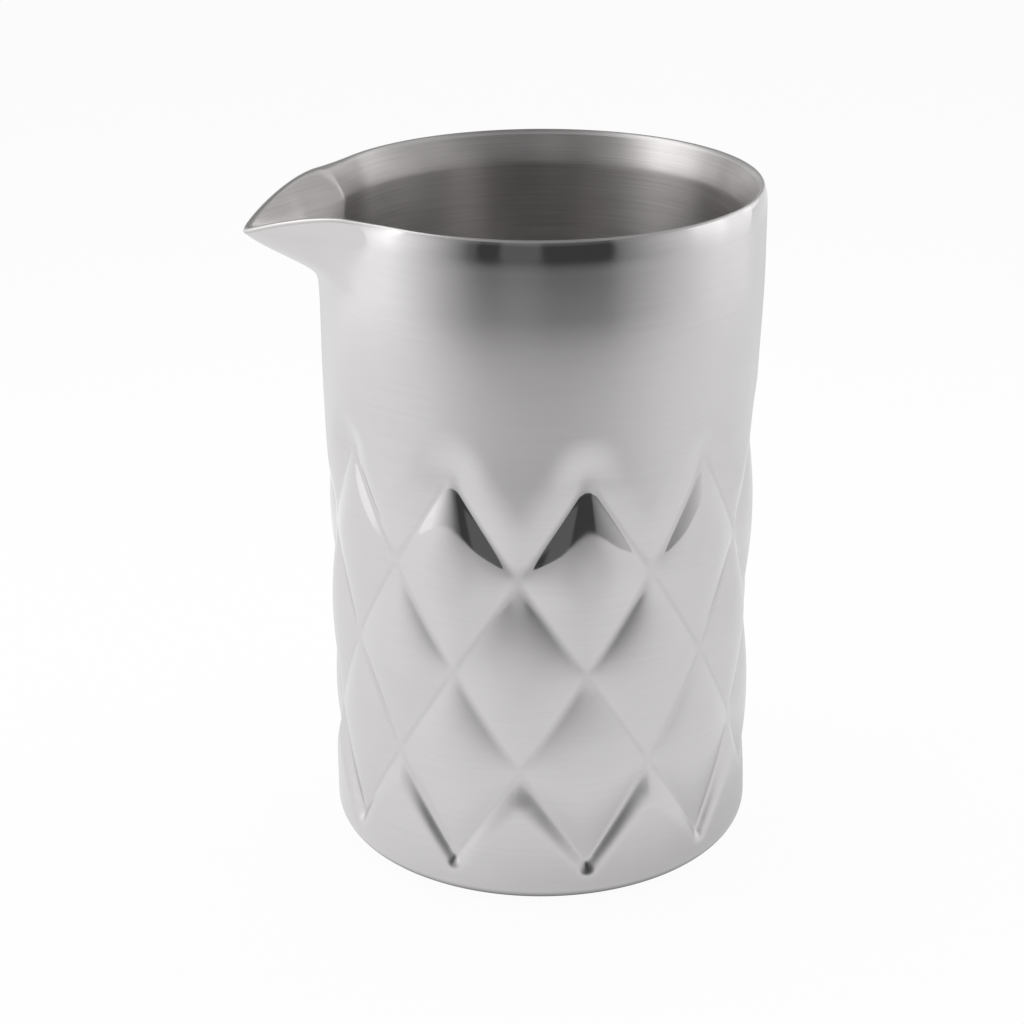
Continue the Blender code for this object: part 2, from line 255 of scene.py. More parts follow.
@dataclass(frozen=True)
class SteelFinish:
    """A finish of steel: its colour, its polish and its grinding lines.

    Attributes:
        name: the material's name.
        slot: the record's material slot, which is not used.
        colour: the metal's colour.
        roughness: the mean roughness.
        unevenness: how far the roughness wanders over the surface.
        line_depth: the depth of the grinding lines, in metres.
        line_pitch: the pitch of the grinding lines, in metres.
        line_weight: how strongly the lines show in the colour.
        anisotropy: how far a highlight is drawn out across the lines.
        grain: which way the lines run.
        wave_depth: the depth of the waves that forming has left in the sheet.
        wave_pitch: the pitch of those waves.
        ring_limit: the radius where rings on a flat face give way to level lines on a wall.
        line_length: the length over which a line changes its tone.
        dark_share: the darkest tone, as a share of the colour.
        clouds: patches of wear to a metre.
        cloud_weight: how strongly they show in the colour.
        specks: fine specks to a metre.
        line_wear: what the lines add to the wandering of the roughness, against 1 for the patches.
        speck_wear: what the specks add to it.
        highlight_turn: which way the highlight is drawn out, as a share of a full turn.
    """

    name: str
    slot: str
    colour: tuple[float, float, float]
    roughness: float
    unevenness: float
    line_depth: float
    line_pitch: float
    line_weight: float
    anisotropy: float = 0.0
    grain: Grain = Grain.MOTTLE
    wave_depth: float = 0.02 * MM
    wave_pitch: float = 22.0 * MM
    ring_limit: float = 38.0 * MM
    line_length: float = 20.0 * MM
    dark_share: float = 0.82
    clouds: float = 45.0
    cloud_weight: float = 0.5
    specks: float = 900.0
    line_wear: float = 0.6
    speck_wear: float = 0.25
    highlight_turn: float = 0.25

    def lines(self, board: Board, place: Field) -> Field:
        """The pattern of grinding lines, from 0 to 1.

        Args:
            board: the material's board.
            place: the object coordinates.

        Returns:
            A noise that is drawn out along the lines.
        """
        x, y, z = board.split(place)
        along, across = 1.0 / self.line_length, 1.0 / self.line_pitch
        if self.grain is Grain.MOTTLE:
            return board.noise(place, across)
        if self.grain is Grain.RINGS:
            z = z - board.math("SQRT", x * x + y * y).least(self.ring_limit)
        return board.noise(board.join(x * along, y * along, z * across), 1.0, detail=1.5)

    def polish(self, board: Board, place: Field) -> tuple[Value, Value]:
        """The roughness before it wanders, and how much painted shade darkens the colour: here an even
        roughness and no painted shade.
        """
        return self.roughness, 0.0

    def material(self) -> bpy.types.Material:
        """Build the material.

        Returns:
            A metal with grinding lines, cloudy wear in its roughness and a faint tint in its colour.
        """
        material, board = new_material(self.name)
        place = board.out(board.node("ShaderNodeTexCoord"), "Object")
        lines = self.lines(board, place)
        clouds = board.noise(place, self.clouds, detail=3.0)
        specks = board.noise(place, self.specks, detail=1.0)
        wander = (clouds - 0.5) + self.line_wear * (lines - 0.5) + self.speck_wear * (specks - 0.5)
        light = (*self.colour, 1.0)
        dark = (*(self.dark_share * part for part in self.colour), 1.0)
        waves = board.noise(place, 1.0 / self.wave_pitch, detail=1.0)
        bump = board.node("ShaderNodeBump", {"Strength": 1.0, "Distance": 1.0,
                                             "Height": self.line_depth * lines + self.wave_depth * waves})
        # The finish's painted shade, if it has any, darkens the base colour below.
        polish, painted_crease_shade = self.polish(board, place)
        shade = self.line_weight * (lines - 0.5) + self.cloud_weight * (clouds - 0.5)
        steel = board.node("ShaderNodeBsdfPrincipled", {
            "Base Color": board.blend((0.5 + shade - painted_crease_shade).clamped(), dark, light),
            "Roughness": (polish + self.unevenness * wander).clamped(),
            "Normal": board.out(bump),
            "Metallic": 1.0,
            "Anisotropic": self.anisotropy,
            "Anisotropic Rotation": self.highlight_turn,
        })
        board.node("ShaderNodeOutputMaterial", {"Surface": board.out(steel)})
        return material


@dataclass(frozen=True)
class EmbossedFinish(SteelFinish):
    """The outer wall's finish: satin, but bright under the rim and in the top row's hollows; painted shade
    darkens its creases.

    Attributes:
        bright: the roughness where the polish is bright.
        rim_start: the height where the bright zone under the rim starts.
        rim_full: the height where it is full.
        row_low: the lower end of the top row of diamonds.
        row_high: its upper end.
        row_ease: the height over which the bright zone of that row fades out.
        hollow_relief: the reliefs between which a hollow's bright polish fades out.
        painted_crease_shade: how much painted shade darkens the colour in the creases.
        painted_crease_shade_relief: the reliefs between which that painted shade fades out.
    """

    bright: float = 0.05
    rim_start: float = 0.0
    rim_full: float = 1.0
    row_low: float = 0.0
    row_high: float = 1.0
    row_ease: float = 8.0 * MM
    hollow_relief: tuple[float, float] = (0.6, 0.97)
    painted_crease_shade: float = 0.3
    painted_crease_shade_relief: tuple[float, float] = (0.06, 0.16)

    def polish(self, board: Board, place: Field) -> tuple[Value, Value]:
        """The polish from the height and from how deep the wall is pressed in, and the painted shade in the
        creases.

        Args:
            board: the material's board.
            place: the object coordinates.

        Returns:
            The roughness before it wanders, and how much painted shade darkens the colour in the creases.
        """
        height = board.split(place)[2]
        relief = board.out(board.node("ShaderNodeAttribute", attribute_name="relief"), "Fac")
        rim = board.ease(height, self.rim_start, self.rim_full)
        row = (board.ease(height, self.row_low - self.row_ease, self.row_low)
               * (1.0 - board.ease(height, self.row_high, self.row_high + self.row_ease)))
        hollow = 1.0 - board.ease(relief, *self.hollow_relief)
        bright = (rim + row * hollow).clamped()
        # Painted shade: the colour is darkened where the wall is pressed deepest, in the creases.
        painted_crease_shade = self.painted_crease_shade * (1.0 - board.ease(relief, *self.painted_crease_shade_relief))
        return self.roughness + (self.bright - self.roughness) * bright, painted_crease_shade


@dataclass(frozen=True)
class CupForm:
    """The form of the cup's walls: radii that depend on the angle round the cup and on the height.

    Attributes:
        height: the rim's height.
        body_radius: the crest of the embossed pillows.
        shoulder_flare: how far the plain wall flares above the band.
        flare_height: the height over which it flares.
        rim_inset: how far the wall rolls in at the rim.
        rim_roll: the height of that roll.
        base_corner: the radius of the rounded corner at the base.
        base_opening: the radius of the opening in the base.
        skin_step: the distance between the two walls' visible faces along the rim.
        skin_round: the round where the trough runs into the outer skin.
        band_top: the height of the band's top apexes.
        spout_reach: how far the spout stands out of the wall.
        tip_drop: how far the tip lies below the rim.
        keel_drop: how far the keel's root lies below the rim.
        keel_slope: the keel's slope at the tip.
        keel_fillet: the round where the keel meets the wall.
        keel_round: the round of the keel at the tip, as an angle.
        root_round: the same at the keel's root.
        lip_setback: how far inside the rim the lip starts to dip.
        lip_curve: how late the lip dips.
        angle_top: the spout's half angle at the rim.
        angle_low: its half angle below.
        angle_depth: the depth over which it narrows.
        flank_power: how hollow the spout's flanks are.
        draw_in: how far forming the spout has drawn in the wall below it.
        draw_angle: the half angle of that hollow.
        draw_depth: the depth where it has run out.
        draw_shares: where it starts, is full and starts to fade, as shares of that depth.
        liner_radius: the inside radius of the liner's wall.
        liner_flare: the depth of the flare at the liner's edge.
        flare_power: how evenly it flares.
        fold_top: the half angle of the trough's fold at the rim.
        fold_narrow: how much it narrows further down.
        fold_depth: the depth over which it narrows.
        fold_power: how straight the trough's sides run to the fold.
        fold_round: the round of the fold, as a share of its angle.
        floor: the height of the liner's floor.
        floor_corner: the round between the liner's wall and its floor.
    """

    height: float
    body_radius: float = 45.8 * MM
    shoulder_flare: float = 1.0 * MM
    flare_height: float = 34.0 * MM
    rim_inset: float = 0.8 * MM
    rim_roll: float = 5.0 * MM
    base_corner: float = 5.0 * MM
    base_opening: float = 36.0 * MM
    skin_step: float = 1.35 * MM
    skin_round: float = 0.405 * MM
    band_top: float = 95.2 * MM
    spout_reach: float = 15.1 * MM
    tip_drop: float = 6.4 * MM
    keel_drop: float = 15.4 * MM
    keel_slope: float = 0.85
    keel_fillet: float = 4.5 * MM
    keel_round: float = math.radians(1.2)
    root_round: float = math.radians(2.5)
    lip_setback: float = 2.0 * MM
    lip_curve: float = 1.7
    angle_top: float = math.radians(41.0)
    angle_low: float = math.radians(29.0)
    angle_depth: float = 11.0 * MM
    flank_power: float = 2.2
    draw_in: float = 1.0 * MM
    draw_angle: float = math.radians(40.0)
    draw_depth: float = 44.0 * MM
    draw_shares: tuple[float, float, float] = (0.1, 0.3, 0.4)
    liner_radius: float = 42.4 * MM
    liner_flare: float = 6.2 * MM
    flare_power: float = 1.45
    fold_top: float = math.radians(27.5)
    fold_narrow: float = math.radians(3.5)
    fold_depth: float = 14.0 * MM
    fold_power: float = 1.25
    fold_round: float = 0.03
    floor: float = 9.0 * MM
    floor_corner: float = 6.0 * MM

    @property
    def shoulder_radius(self) -> float:
        """The widest radius of the plain wall."""
        return self.body_radius + self.shoulder_flare

    @property
    def rim_radius(self) -> float:
        """The outer radius at the rim."""
        return self.shoulder_radius - self.rim_inset

    @property
    def tip_reach(self) -> float:
        """The distance of the spout's tip from the axis."""
        return self.shoulder_radius + self.spout_reach

    def wall(self, height: np.ndarray) -> np.ndarray:
        """Radius of the plain outer wall.

        Args:
            height: some heights.

        Returns:
            The radius at each height.
        """
        flare = ease((height - self.band_top) / self.flare_height)
        roll = np.clip(1.0 - (self.height - height) / self.rim_roll, 0.0, 1.0)
        return self.body_radius + self.shoulder_flare * flare - self.rim_inset * roll ** 3

    def from_spout(self, angle: np.ndarray, drop: np.ndarray) -> np.ndarray:
        """Angle from the middle of the spout, with the keel's round, which grows towards its root.

        Args:
            angle: some angles round the cup.
            drop: depths below the rim.

        Returns:
            The angle from the spout, 0 on the keel.
        """
        turn = np.mod(angle, 2.0 * math.pi) - math.pi
        root = ease((drop - self.tip_drop) / (self.keel_drop - self.tip_drop))
        rounding = self.keel_round + (self.root_round - self.keel_round) * root
        return np.hypot(turn, rounding) - rounding

    def keel(self, drop: np.ndarray) -> np.ndarray:
        """Distance of the keel from the axis.

        Args:
            drop: some depths below the rim.

        Returns:
            The distance at each depth: straight at the tip, and bent in below it.
        """
        below = drop - self.tip_drop
        run = self.keel_drop - self.tip_drop
        bend = (self.spout_reach - self.keel_slope * run) / run ** 2
        return self.tip_reach - self.keel_slope * below - bend * np.maximum(below, 0.0) ** 2

    def flank(self, angle: np.ndarray, drop: np.ndarray) -> np.ndarray:
        """Share of the spout's stand at an angle.

        Args:
            angle: some angles round the cup.
            drop: depths below the rim.

        Returns:
            1 at the keel and 0 on the wall beside the spout.
        """
        t = np.clip(drop / self.angle_depth, 0.0, 1.0)
        half = self.angle_top + (self.angle_low - self.angle_top) * t * (2.0 - t)
        return np.clip(1.0 - self.from_spout(angle, drop) / half, 0.0, 1.0) ** self.flank_power

    def stand(self, keel: np.ndarray, wall: np.ndarray) -> np.ndarray:
        """How far the keel stands out of a wall, with the fillet where they meet."""
        out = keel - wall
        return 0.5 * (out + np.hypot(out, self.keel_fillet))

    def outside(self, angle: np.ndarray, height: np.ndarray) -> np.ndarray:
        """Radius of the outer face before it is embossed.

        Args:
            angle: some angles round the cup.
            height: heights above the base.

        Returns:
            The radius with the spout and the hollow beside it.
        """
        drop = self.height - height
        wall = self.wall(height)
        bulge = self.stand(self.keel(drop), wall) * self.flank(angle, drop)
        return wall + bulge - self.hollow(angle, drop)

    def hollow(self, angle: np.ndarray, drop: np.ndarray) -> np.ndarray:
        """How far the wall is drawn in beside and below the spout.

        Args:
            angle: some angles round the cup.
            drop: depths below the rim.

        Returns:
            The depth of the hollow.
        """
        turn = np.abs(np.mod(angle, 2.0 * math.pi) - math.pi)
        share = drop / self.draw_depth
        start, full, fade = self.draw_shares
        deep = ease((share - start) / (full - start)) * (1.0 - ease((share - fade) / (1.0 - fade)))
        return self.draw_in * ease(1.0 - turn / self.draw_angle) * deep

    def fold_angle(self, drop: np.ndarray) -> np.ndarray:
        """Angle of the trough's fold from the middle of the spout at some depths below the rim."""
        return self.fold_top - self.fold_narrow * ease(drop / self.fold_depth)

    def trough(self, angle: np.ndarray, height: np.ndarray) -> np.ndarray:
        """Radius of the liner's wall with the trough, before the flare at its edge.

        Args:
            angle: some angles round the cup.
            height: heights above the base.

        Returns:
            The radius, with the trough's sides meeting the wall in a fold, kept inside the outer skin.
        """
        drop = self.height - height
        lean = math.atan(self.keel_slope)
        keel = self.keel(drop + self.skin_step * math.sin(lean)) - self.skin_step * math.cos(lean)
        t = 1.0 - self.from_spout(angle, drop) / self.fold_angle(drop)
        share = (0.5 * (t + np.hypot(t, self.fold_round))) ** self.fold_power
        trough = self.liner_radius + self.stand(keel, self.liner_radius) * share
        limit = self.lined(angle, height)
        return 0.5 * (trough + limit - np.hypot(trough - limit, self.skin_round))

    def lined(self, angle: np.ndarray, height: np.ndarray) -> np.ndarray:
        """Radius of a face that lies inside the outer face by the distance between the two skins.

        Args:
            angle: some angles round the cup.
            height: heights above the base.

        Returns:
            The radius, with that distance taken at right angles to the outer face.
        """
        step, turn = 0.2 * MM, 0.002
        radius = self.outside(angle, height)
        rise = (self.outside(angle, height + step) - self.outside(angle, height - step)) / (2.0 * step)
        swing = (self.outside(angle + turn, height) - self.outside(angle - turn, height)) / (2.0 * turn)
        return radius - self.skin_step * np.sqrt(1.0 + rise ** 2 + (swing / radius) ** 2)

    def inside(self, angle: np.ndarray, height: np.ndarray) -> np.ndarray:
        """Radius of the liner's inside face.

        Args:
            angle: some angles round the cup.
            height: heights above the base.

        Returns:
            The radius with the trough, flaring out to meet the outer skin along the lip.
        """
        edge = self.inner_edge(angle)
        flare = np.clip(1.0 - (edge - height) / self.liner_flare, 0.0, None) ** self.flare_power
        return self.trough(angle, height) + (self.lined(angle, edge) - self.trough(angle, edge)) * flare

    def lip(self, angle: np.ndarray) -> np.ndarray:
        """Height of the lip's crown, which dips from the rim to the spout's tip.

        Args:
            angle: some angles round the cup.

        Returns:
            The height at each angle, found by halving the range that holds it.
        """
        halvings = 40
        low = np.zeros_like(angle)
        high = np.full_like(angle, self.keel_drop)
        start = self.rim_radius - self.lip_setback
        for _ in range(halvings):
            drop = 0.5 * (low + high)
            along = -self.outside(angle, self.height - drop) * np.cos(angle)
            share = np.clip((along - start) / (self.tip_reach - start), 0.0, None)
            deeper = self.tip_drop * share ** self.lip_curve > drop
            low = np.where(deeper, drop, low)
            high = np.where(deeper, high, drop)
        return self.height - 0.5 * (low + high)

    def lean(self, angle: np.ndarray) -> np.ndarray:
        """How far the outer face leans out at the lip.

        Args:
            angle: some angles round the cup.

        Returns:
            The lean as an angle, 0 where the face is upright.
        """
        lip = self.lip(angle)
        step = 0.5 * MM
        return np.arctan((self.outside(angle, lip) - self.outside(angle, lip - step)) / step)

    def outer_edge(self, angle: np.ndarray) -> np.ndarray:
        """Height where the outer face ends and the rim's bead starts."""
        lean = self.lean(angle)
        return self.lip(angle) - 0.5 * self.skin_step * (np.sin(lean) + np.cos(lean))

    def inner_edge(self, angle: np.ndarray) -> np.ndarray:
        """Height where the liner ends and the rim's bead starts."""
        return self.outer_edge(angle) + self.skin_step * np.sin(self.lean(angle))


@dataclass
class Piece:
    """One finished piece: how its rows of points become a mesh, and how it joins the frame.

    Attributes:
        form: the form that the piece follows.
        columns: points round the cup.
        name: the piece's name.
        node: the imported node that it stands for.
    """

    form: CupForm
    columns: int = 480

    name: str = field(init=False, default="piece")
    node: str = field(init=False, default="")

    @property
    def angles(self) -> np.ndarray:
        """The angles of the columns of points."""
        return np.linspace(0.0, 2.0 * math.pi, self.columns, endpoint=False)

    def round_row(self, radius: Union[float, np.ndarray], height: Union[float, np.ndarray]) -> np.ndarray:
        """A ring of points.

        Args:
            radius: its radius, one for all points or one for each.
            height: its height, in the same way.

        Returns:
            The points of the ring.
        """
        angles = self.angles
        across = np.broadcast_to(radius, angles.shape)
        up = np.broadcast_to(height, angles.shape)
        return np.stack([across * np.cos(angles), across * np.sin(angles), up], -1)

    def corner_rows(self, centre: float, level: float, radius: float, count: int) -> list[np.ndarray]:
        """Rings down a quarter round from a wall to the floor below it."""
        turns = np.linspace(0.0, 0.5 * math.pi, count + 1)[1:]
        return [self.round_row(centre + radius * math.cos(t), level - radius * math.sin(t)) for t in turns]

    def zone_heights(self, top: np.ndarray, foot: float, count: int, crowding: float) -> list[np.ndarray]:
        """Heights of rows from the lip down to a level, closer together towards the lip."""
        return [top + share * (foot - top) for share in np.linspace(0.0, 1.0, count + 1) ** crowding]

    def level_heights(self, start: float, end: float, count: int) -> list[np.ndarray]:
        """Heights of level rows from one level, which is left out, to another."""
        return [np.full_like(self.angles, level) for level in np.linspace(start, end, count + 1)[1:]]

    def rows(self) -> np.ndarray:
        """Rings of points round the piece's section, which each piece gives for itself."""
        raise NotImplementedError

    def ring_faces(self, rows: np.ndarray) -> np.ndarray:
        """Four-sided faces between neighbouring rings, with the last ring joined to the first.

        Args:
            rows: the rings of points.

        Returns:
            The corners of each face.
        """
        count = len(rows)
        index = np.arange(count * self.columns).reshape(count, self.columns)
        below = np.roll(index, -1, 0)
        corners = [index, below, np.roll(below, -1, 1), np.roll(index, -1, 1)]
        return np.stack(corners, -1).reshape(-1, 4)

    def mesh_object(self) -> bpy.types.Object:
        """An object with the piece's closed mesh.

        Returns:
            The object, linked to the scene, with points that coincide merged.
        """
        rows = self.rows()
        mesh = bpy.data.meshes.new(self.name)
        mesh.from_pydata(rows.reshape(-1, 3).tolist(), [], self.ring_faces(rows).tolist())
        shape = bmesh.new()
        shape.from_mesh(mesh)
        bmesh.ops.remove_doubles(shape, verts=shape.verts, dist=MERGE_DISTANCE)
        shape.to_mesh(mesh)
        shape.free()
        return add_object(self.name, mesh)

    def dress(self, piece: bpy.types.Object, steel: bpy.types.Material) -> None:
        """Give the piece its material."""
        piece.data.materials.append(steel)

    def build(self, finish: SteelFinish) -> bpy.types.Object:
        """Build the piece, smooth but for its crisp edges, and let it stand for its node.

        Args:
            finish: its finish.

        Returns:
            The finished piece, which rides on the cup's body.
        """
        piece = self.mesh_object()
        self.dress(piece, finish.material())
        piece.data.shade_smooth()
        piece.data.set_sharp_from_angle(angle=CRISP_ANGLE)
        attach(piece, BODY)
        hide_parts(self.node)
        return piece


@dataclass
class DiamondEmboss:
    """The diamonds pressed into the outer wall, as a node tree that works on the wall's blank.

    Attributes:
        diamonds_round: whole diamonds round the cup.
        row_step: the height between two levels of the lattice.
        middle: the height of the band's middle.
        half_rows: levels from the band's middle to its outermost apexes.
        depth: the depth of the grooves.
        upper_ease: how far the plain wall above takes to reach its full height.
        upper_steepness: how steeply it rises out of its groove.
        upper_softness: how softly its flanks meet, from 0 for a crease to 1.
        lower_ease: how far the wall below the band takes to reach its full height.
        lower_steepness: how steeply the wall below the band rises out of its groove.
        lower_spread: how much wider that rise is at the upper ends of the lower zigzag.
        lower_softness: how softly its flanks meet there, from 0 for a crease to 1.
        softness_shares: where that softness starts and is full, as shares of the climb of the zigzag.
        pillow_steepness: how steeply a diamond rises out of its grooves.
        groove_round: how far the round at a groove's bottom fills it, as a share of its depth.
        crossing_fill: how much more the grooves are filled where they cross.
        crossing_reach: how far that filling reaches, as a share of half the distance between two.
    """

    diamonds_round: int = 10
    row_step: float = 21.5 * MM
    middle: float = 52.2 * MM
    half_rows: float = 2.0
    depth: float = 1.6 * MM
    upper_ease: float = 9.0 * MM
    upper_steepness: float = 2.0
    upper_softness: float = 1.0
    lower_ease: float = 3.6 * MM
    lower_steepness: float = 1.8
    lower_spread: float = 1.7
    lower_softness: float = 0.35
    softness_shares: tuple[float, float] = (0.2, 0.6)
    pillow_steepness: float = 2.4
    groove_round: float = 0.045
    crossing_fill: float = 0.05
    crossing_reach: float = 0.25

    @property
    def half_diamond(self) -> float:
        """Half a diamond's width, as an angle."""
        return math.pi / self.diamonds_round

    def leans(self, angle: np.ndarray, height: np.ndarray) -> np.ndarray:
        """Whether the nearest groove climbs with the angle.

        Args:
            angle: angles of some places on the wall.
            height: their heights.

        Returns:
            True where it climbs and False where it falls.
        """
        u = angle / self.half_diamond
        v = (height - self.middle) / self.row_step
        return np.abs(np.mod(u - v, 2.0) - 1.0) < np.abs(np.mod(u + v, 2.0) - 1.0)

    def inputs(self, form: CupForm, steel: bpy.types.Material) -> dict[str, tuple[str, Any]]:
        """The tree's inputs.

        Args:
            form: the cup's form.
            steel: the wall's material.

        Returns:
            Socket types and values, by name.
        """
        number, length = "NodeSocketInt", "NodeSocketFloat"
        return {
            "Diamonds Round": (number, self.diamonds_round),
            "Row Step": (length, self.row_step),
            "Band Middle": (length, self.middle),
            "Half Rows": (length, self.half_rows),
            "Groove Depth": (length, self.depth),
            "Upper Ease": (length, self.upper_ease),
            "Lower Ease": (length, self.lower_ease),
            "Lower Steepness": (length, self.lower_steepness),
            "Lower Spread": (length, self.lower_spread),
            "Lower Softness": (length, self.lower_softness),
            "Pillow Steepness": (length, self.pillow_steepness),
            "Groove Round": (length, self.groove_round),
            "Crossing Fill": (length, self.crossing_fill),
            "Body Radius": (length, form.body_radius),
            "Base Corner": (length, form.base_corner),
            "Steel": ("NodeSocketMaterial", steel),
        }

    def rise(self, distance: Field, width: Value, power: Value) -> Field:
        """How far the wall has risen out of a groove, from 0 to 1."""
        return 1.0 - (1.0 - distance / width).most(0.0) ** power

    def groove_distance(self, family: Field) -> Field:
        """Distance to the nearest of a family of parallel grooves, 1 half-way between two."""
        return abs(family % 2.0 - 1.0)

    def plain_relief(self, board: Board, across: Field, above: Field, width: Field, power: Value,
                     soft: Value, sizes: dict[str, Field]) -> Field:
        """Relief of a plain zone beyond the outermost zigzag groove.

        Args:
            board: the tree's board.
            across: half diamonds from an apex.
            above: height above the apexes, away from the band.
            width: how far the zone takes to reach its full height.
            power: how steeply it rises.
            soft: 1 where its flanks run softly into each other and 0 where they meet in a crease.
            sizes: the tree's inputs.

        Returns:
            The relief, from 0 in the groove to 1.
        """
        step = sizes["Row Step"]
        half_width = sizes["Body Radius"] * math.pi / sizes["Diamonds Round"]
        length = half_width * half_width + step * step
        creased, blended = None, None
        for start in (-1, 0, 1):
            climb = 1.0 if start % 2 else -1.0
            run = (across - float(start)) * half_width
            lift = above + step * float(start % 2)
            t = ((run * half_width + climb * lift * step) / length).clamped()
            gap_x = run - t * half_width
            gap_y = lift - climb * t * step
            risen = self.rise(board.math("SQRT", gap_x * gap_x + gap_y * gap_y), width, power)
            creased = risen if creased is None else creased.least(risen)
            blended = risen if blended is None else blended * risen
        return creased + (blended - creased) * soft

    def relief(self, board: Board, place: Field, sizes: dict[str, Field]) -> Field:
        """Relief of the whole wall.

        Args:
            board: the tree's board.
            place: the position of a point.
            sizes: the tree's inputs.

        Returns:
            0 in a groove and 1 on the crest of a pillow or on the plain wall.
        """
        x, y, z = board.split(place)
        u = board.math("ARCTAN2", y, x) * sizes["Diamonds Round"] / math.pi
        v = (z - sizes["Band Middle"]) / sizes["Row Step"]
        from_apex = abs(u % 2.0 - 1.0)
        zigzag = sizes["Half Rows"] - from_apex
        above = (v - sizes["Half Rows"]) * sizes["Row Step"]
        below = (0.0 - v - sizes["Half Rows"]) * sizes["Row Step"]
        upper = self.plain_relief(board, from_apex, above, sizes["Upper Ease"], self.upper_steepness,
                                  self.upper_softness, sizes)
        climb = (0.0 - below / sizes["Row Step"]).clamped()
        lower_width = sizes["Lower Ease"] * (1.0 + sizes["Lower Spread"] * climb * climb)
        start, full = self.softness_shares
        lower_soft = sizes["Lower Softness"] * ((climb - start) / (full - start)).clamped()
        lower = self.plain_relief(board, from_apex, below, lower_width, sizes["Lower Steepness"],
                                  lower_soft, sizes)
        gaps = [self.groove_distance(family) for family in (u + v, u - v)]
        climbing, falling = (self.rise(gap, 1.0, sizes["Pillow Steepness"]) for gap in gaps)
        both = climbing * falling
        least_sum = 1.0e-4
        pillows = both / (climbing + falling - both).most(least_sum)
        is_upper, is_lower = v > zigzag, (0.0 - v) > zigzag
        sharp = is_upper * upper + is_lower * lower + (1.0 - is_upper - is_lower) * pillows
        near = [(1.0 - gap * gap / self.crossing_reach ** 2).most(0.0) for gap in gaps]
        fill = sizes["Groove Round"] + sizes["Crossing Fill"] * near[0] * near[1]
        over = sharp - fill
        return 0.5 * (sharp + fill + board.math("SQRT", over * over + fill * fill))

    def tree(self, inputs: dict[str, tuple[str, Any]]) -> bpy.types.NodeTree:
        """Build the node tree.

        Args:
            inputs: names, socket types and values of its inputs.

        Returns:
            A tree that presses the diamonds into a blank whose outer face has the attribute skin.
        """
        tree = bpy.data.node_groups.new("diamond_emboss", 'GeometryNodeTree')
        board = Board(tree)
        tree.interface.new_socket("Blank", in_out='INPUT', socket_type="NodeSocketGeometry")
        for name, (kind, _) in inputs.items():
            tree.interface.new_socket(name, in_out='INPUT', socket_type=kind)
        tree.interface.new_socket("Wall", in_out='OUTPUT', socket_type="NodeSocketGeometry")
        given = board.node("NodeGroupInput")
        sizes = {name: board.out(given, name) for name in inputs}
        place = board.out(board.node("GeometryNodeInputPosition"))
        x, y, z = board.split(place)
        skin = board.node("GeometryNodeInputNamedAttribute", {"Name": "skin"}, data_type='FLOAT')
        relief = self.relief(board, place, sizes)
        pressed = sizes["Groove Depth"] * (1.0 - relief)
        foot = (z / sizes["Base Corner"]).clamped()
        inwards = pressed * foot * board.out(skin) / board.math("SQRT", x * x + y * y)
        offset = board.join(0.0 - x * inwards, 0.0 - y * inwards, 0.0)
        marked = board.node("GeometryNodeStoreNamedAttribute",
                            {"Geometry": board.out(given, "Blank"), "Name": "relief", "Value": relief},
                            data_type='FLOAT', domain='POINT')
        moved = board.node("GeometryNodeSetPosition", {"Geometry": board.out(marked), "Offset": offset})
        real = board.node("GeometryNodeRealizeInstances", {"Geometry": board.out(moved)})
        steel = board.node("GeometryNodeSetMaterial",
                           {"Geometry": board.out(real), "Material": sizes["Steel"]})
        board.node("NodeGroupOutput", {0: board.out(steel)})
        return tree

    def press(self, blank: bpy.types.Object, form: CupForm, steel: bpy.types.Material) -> None:
        """Press the diamonds into a blank and keep the result as its plain mesh.

        Args:
            blank: the wall's blank.
            form: the cup's form.
            steel: the wall's material.
        """
        inputs = self.inputs(form, steel)
        modifier = blank.modifiers.new("Emboss", 'NODES')
        modifier.node_group = self.tree(inputs)
        sockets = {item.name: item.identifier for item in modifier.node_group.interface.items_tree
                   if item.in_out == 'INPUT'}
        for name, (_, value) in inputs.items():
            modifier[sockets[name]] = value
        graph = bpy.context.evaluated_depsgraph_get()
        mesh = bpy.data.meshes.new_from_object(blank.evaluated_get(graph))
        blank.modifiers.clear()
        blank.data = mesh


